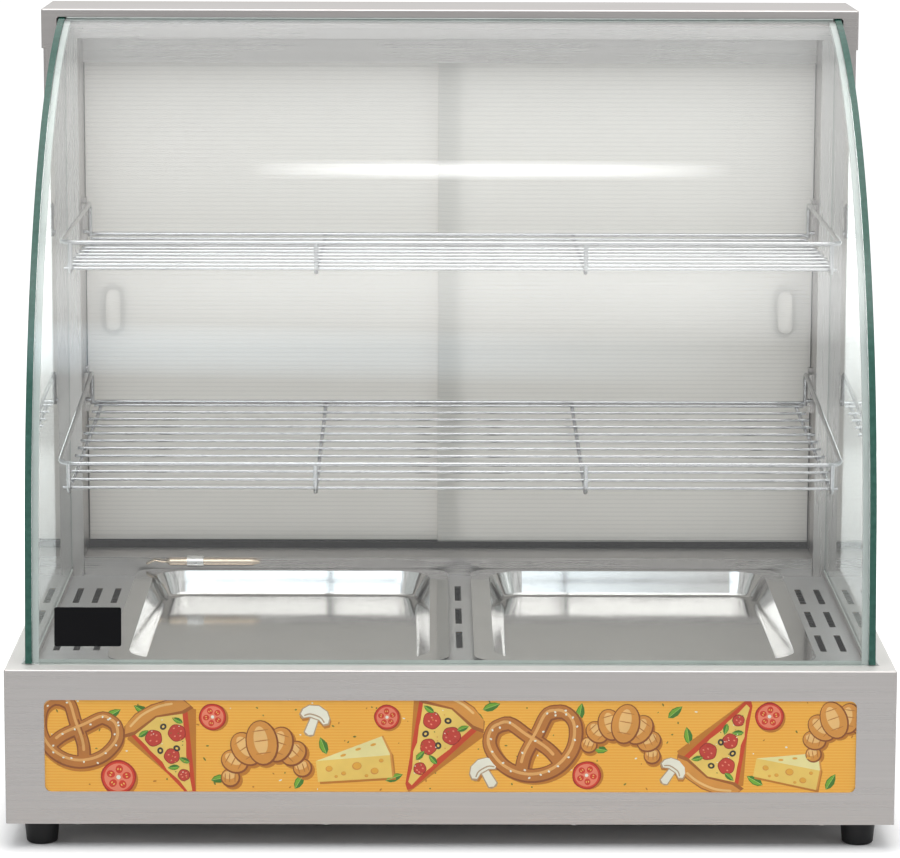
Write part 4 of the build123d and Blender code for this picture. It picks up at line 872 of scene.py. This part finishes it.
def make_camera():
    """The photograph's viewpoint."""
    place = Vector((0, FRONT_Y, BASE_TOP)) + Vector(CAMERA_OFFSET)
    level, dip = math.cos(CAMERA_PITCH), math.sin(CAMERA_PITCH)
    ahead = Vector((math.sin(CAMERA_YAW) * level, math.cos(CAMERA_YAW) * level, -dip))
    right = Vector((math.cos(CAMERA_YAW), -math.sin(CAMERA_YAW), 0))
    up = right.cross(ahead)
    turned = right * math.cos(CAMERA_ROLL) + up * math.sin(CAMERA_ROLL)
    upright = up * math.cos(CAMERA_ROLL) - right * math.sin(CAMERA_ROLL)
    data = bpy.data.cameras.new("camera")
    data.lens = CAMERA_LENS
    data.sensor_width = CAMERA_SENSOR
    data.clip_start, data.clip_end = 0.05, 60
    camera = new_object("camera", data)
    camera.matrix_world = Matrix((
        (turned.x, upright.x, -ahead.x, place.x), (turned.y, upright.y, -ahead.y, place.y),
        (turned.z, upright.z, -ahead.z, place.z), (0, 0, 0, 1)))
    bpy.context.scene.camera = camera


def make_floor():
    """A wide pale floor that reads white away from the object's shadow: its glow, for camera and
    partly for mirrored rays, is painted light that grows with distance from the case and shapes the
    shadow's soft edge.
    """
    t = Finish("floor")
    tone = t.ramp(t.noise(2.0, 2.0, 0.5), (0.3, 0.93), (0.7, 0.95))
    x, y, _ = t.axes()
    beside = t.math("SUBTRACT", t.math("ABSOLUTE", x), CASE_HALF)
    before = t.math("SUBTRACT", t.math("ABSOLUTE", y), -FRONT_Y)
    away = t.math("ADD", t.math("MAXIMUM", beside, before), SHADOW_INSET)
    # Painted light: the glow is nil next to the case and grows away from it.
    level = t.math("MULTIPLY", t.seen_rays(FLOOR_MIRRORED), t.ramp(away, *FLOOR_GLOW))
    both = t.add("ShaderNodeAddShader")
    t.put(t.shader("BsdfDiffuse", Color=tone), both.inputs[0])
    t.put(t.shader("Emission", Strength=level), both.inputs[1])
    mesh = bpy.data.meshes.new("floor")
    corners = ((-1, -1), (1, -1), (1, 1), (-1, 1))
    mesh.from_pydata([(FLOOR_HALF * x, FLOOR_HALF * y, 0) for x, y in corners], [],
                     [(0, 1, 2, 3)])
    mesh.materials.append(t.done(both.outputs[0]))
    new_object("floor", mesh)


def make_world():
    """Even white surroundings that light the object less than they show."""
    world = bpy.data.worlds.new("studio")
    bpy.context.scene.world = world
    world.use_nodes = True
    t = Tree(world.node_tree)
    t.tree.nodes.clear()
    seen = t.shader("Background", Color=(1, 1, 1))
    lit = t.shader("Background", Color=(0.97, 0.985, 1.0), Strength=WORLD_LIGHT)
    out = t.add("ShaderNodeOutputWorld")
    t.put(t.mixed(t.seen_rays(), lit, seen), out.inputs["Surface"])


def soften(data):
    """Fades a soft box toward its edges."""
    data.use_nodes = True
    t = Tree(data.node_tree)
    glow = next(node for node in t.tree.nodes if node.type == "EMISSION")
    places = t.axes(t.add("ShaderNodeNewGeometry").outputs["Parametric"])[:2]
    fades = [t.math("MULTIPLY", place, t.math("SUBTRACT", 1.0, place)) for place in places]
    t.put(t.math("MULTIPLY", t.math("MULTIPLY", *fades), SOFT_BOX_PEAK), glow.inputs["Strength"])


def make_lamp(name, place, target, size, radiance, colour=(1, 1, 1)):
    """A soft rectangular lamp aimed at a point, bright in its middle."""
    data = bpy.data.lights.new(name, "AREA")
    data.shape = "RECTANGLE"
    data.size, data.size_y = size
    data.energy = radiance * math.pi * size[0] * size[1]
    data.color = colour
    soften(data)
    lamp = new_object(name, data)
    lamp.location = place
    lamp.rotation_mode = "QUATERNION"
    lamp.rotation_quaternion = (Vector(target) - Vector(place)).to_track_quat("-Z", "Y")


def make_lamps():
    """Soft boxes above, high in front, at the right and low behind, and one small bright one."""
    make_lamp("lamp_top", (0.0, -0.05, 2.45), (0, -0.05, 0.3), (3.0, 3.2), 2.1,
              (1.0, 0.985, 0.965))
    make_lamp("lamp_high", (0.1, -1.35, 2.25), (0, -0.2, 0.4), (2.6, 1.1), 3.2)
    make_lamp("lamp_streak", (0.06, -0.10, 2.40), (0.06, -0.10, 0.3), (0.60, 0.19), 7.0)
    make_lamp("lamp_front", (-0.5, -2.25, 2.35), (0, -0.2, 0.4), (2.0, 0.7), 2.6,
              (0.74, 0.88, 1.0))
    make_lamp("lamp_right", (2.4, -1.0, 1.2), (0, 0, 0.3), (1.0, 1.4), 3.4)
    make_lamp("lamp_back", (0.0, 1.5, 0.31), (0, 0.2, 0.35), (2.2, 0.54), 4.4)


bpy.context.scene.view_settings.view_transform = "Standard"
smooth_nodes()
dress_nodes()
make_print(random.Random(11))
make_dial_marks()
make_rocker_marks("power_rocker")
make_rocker_marks("light_rocker")
make_door_strips()
make_camera()
make_floor()
make_world()
make_lamps()
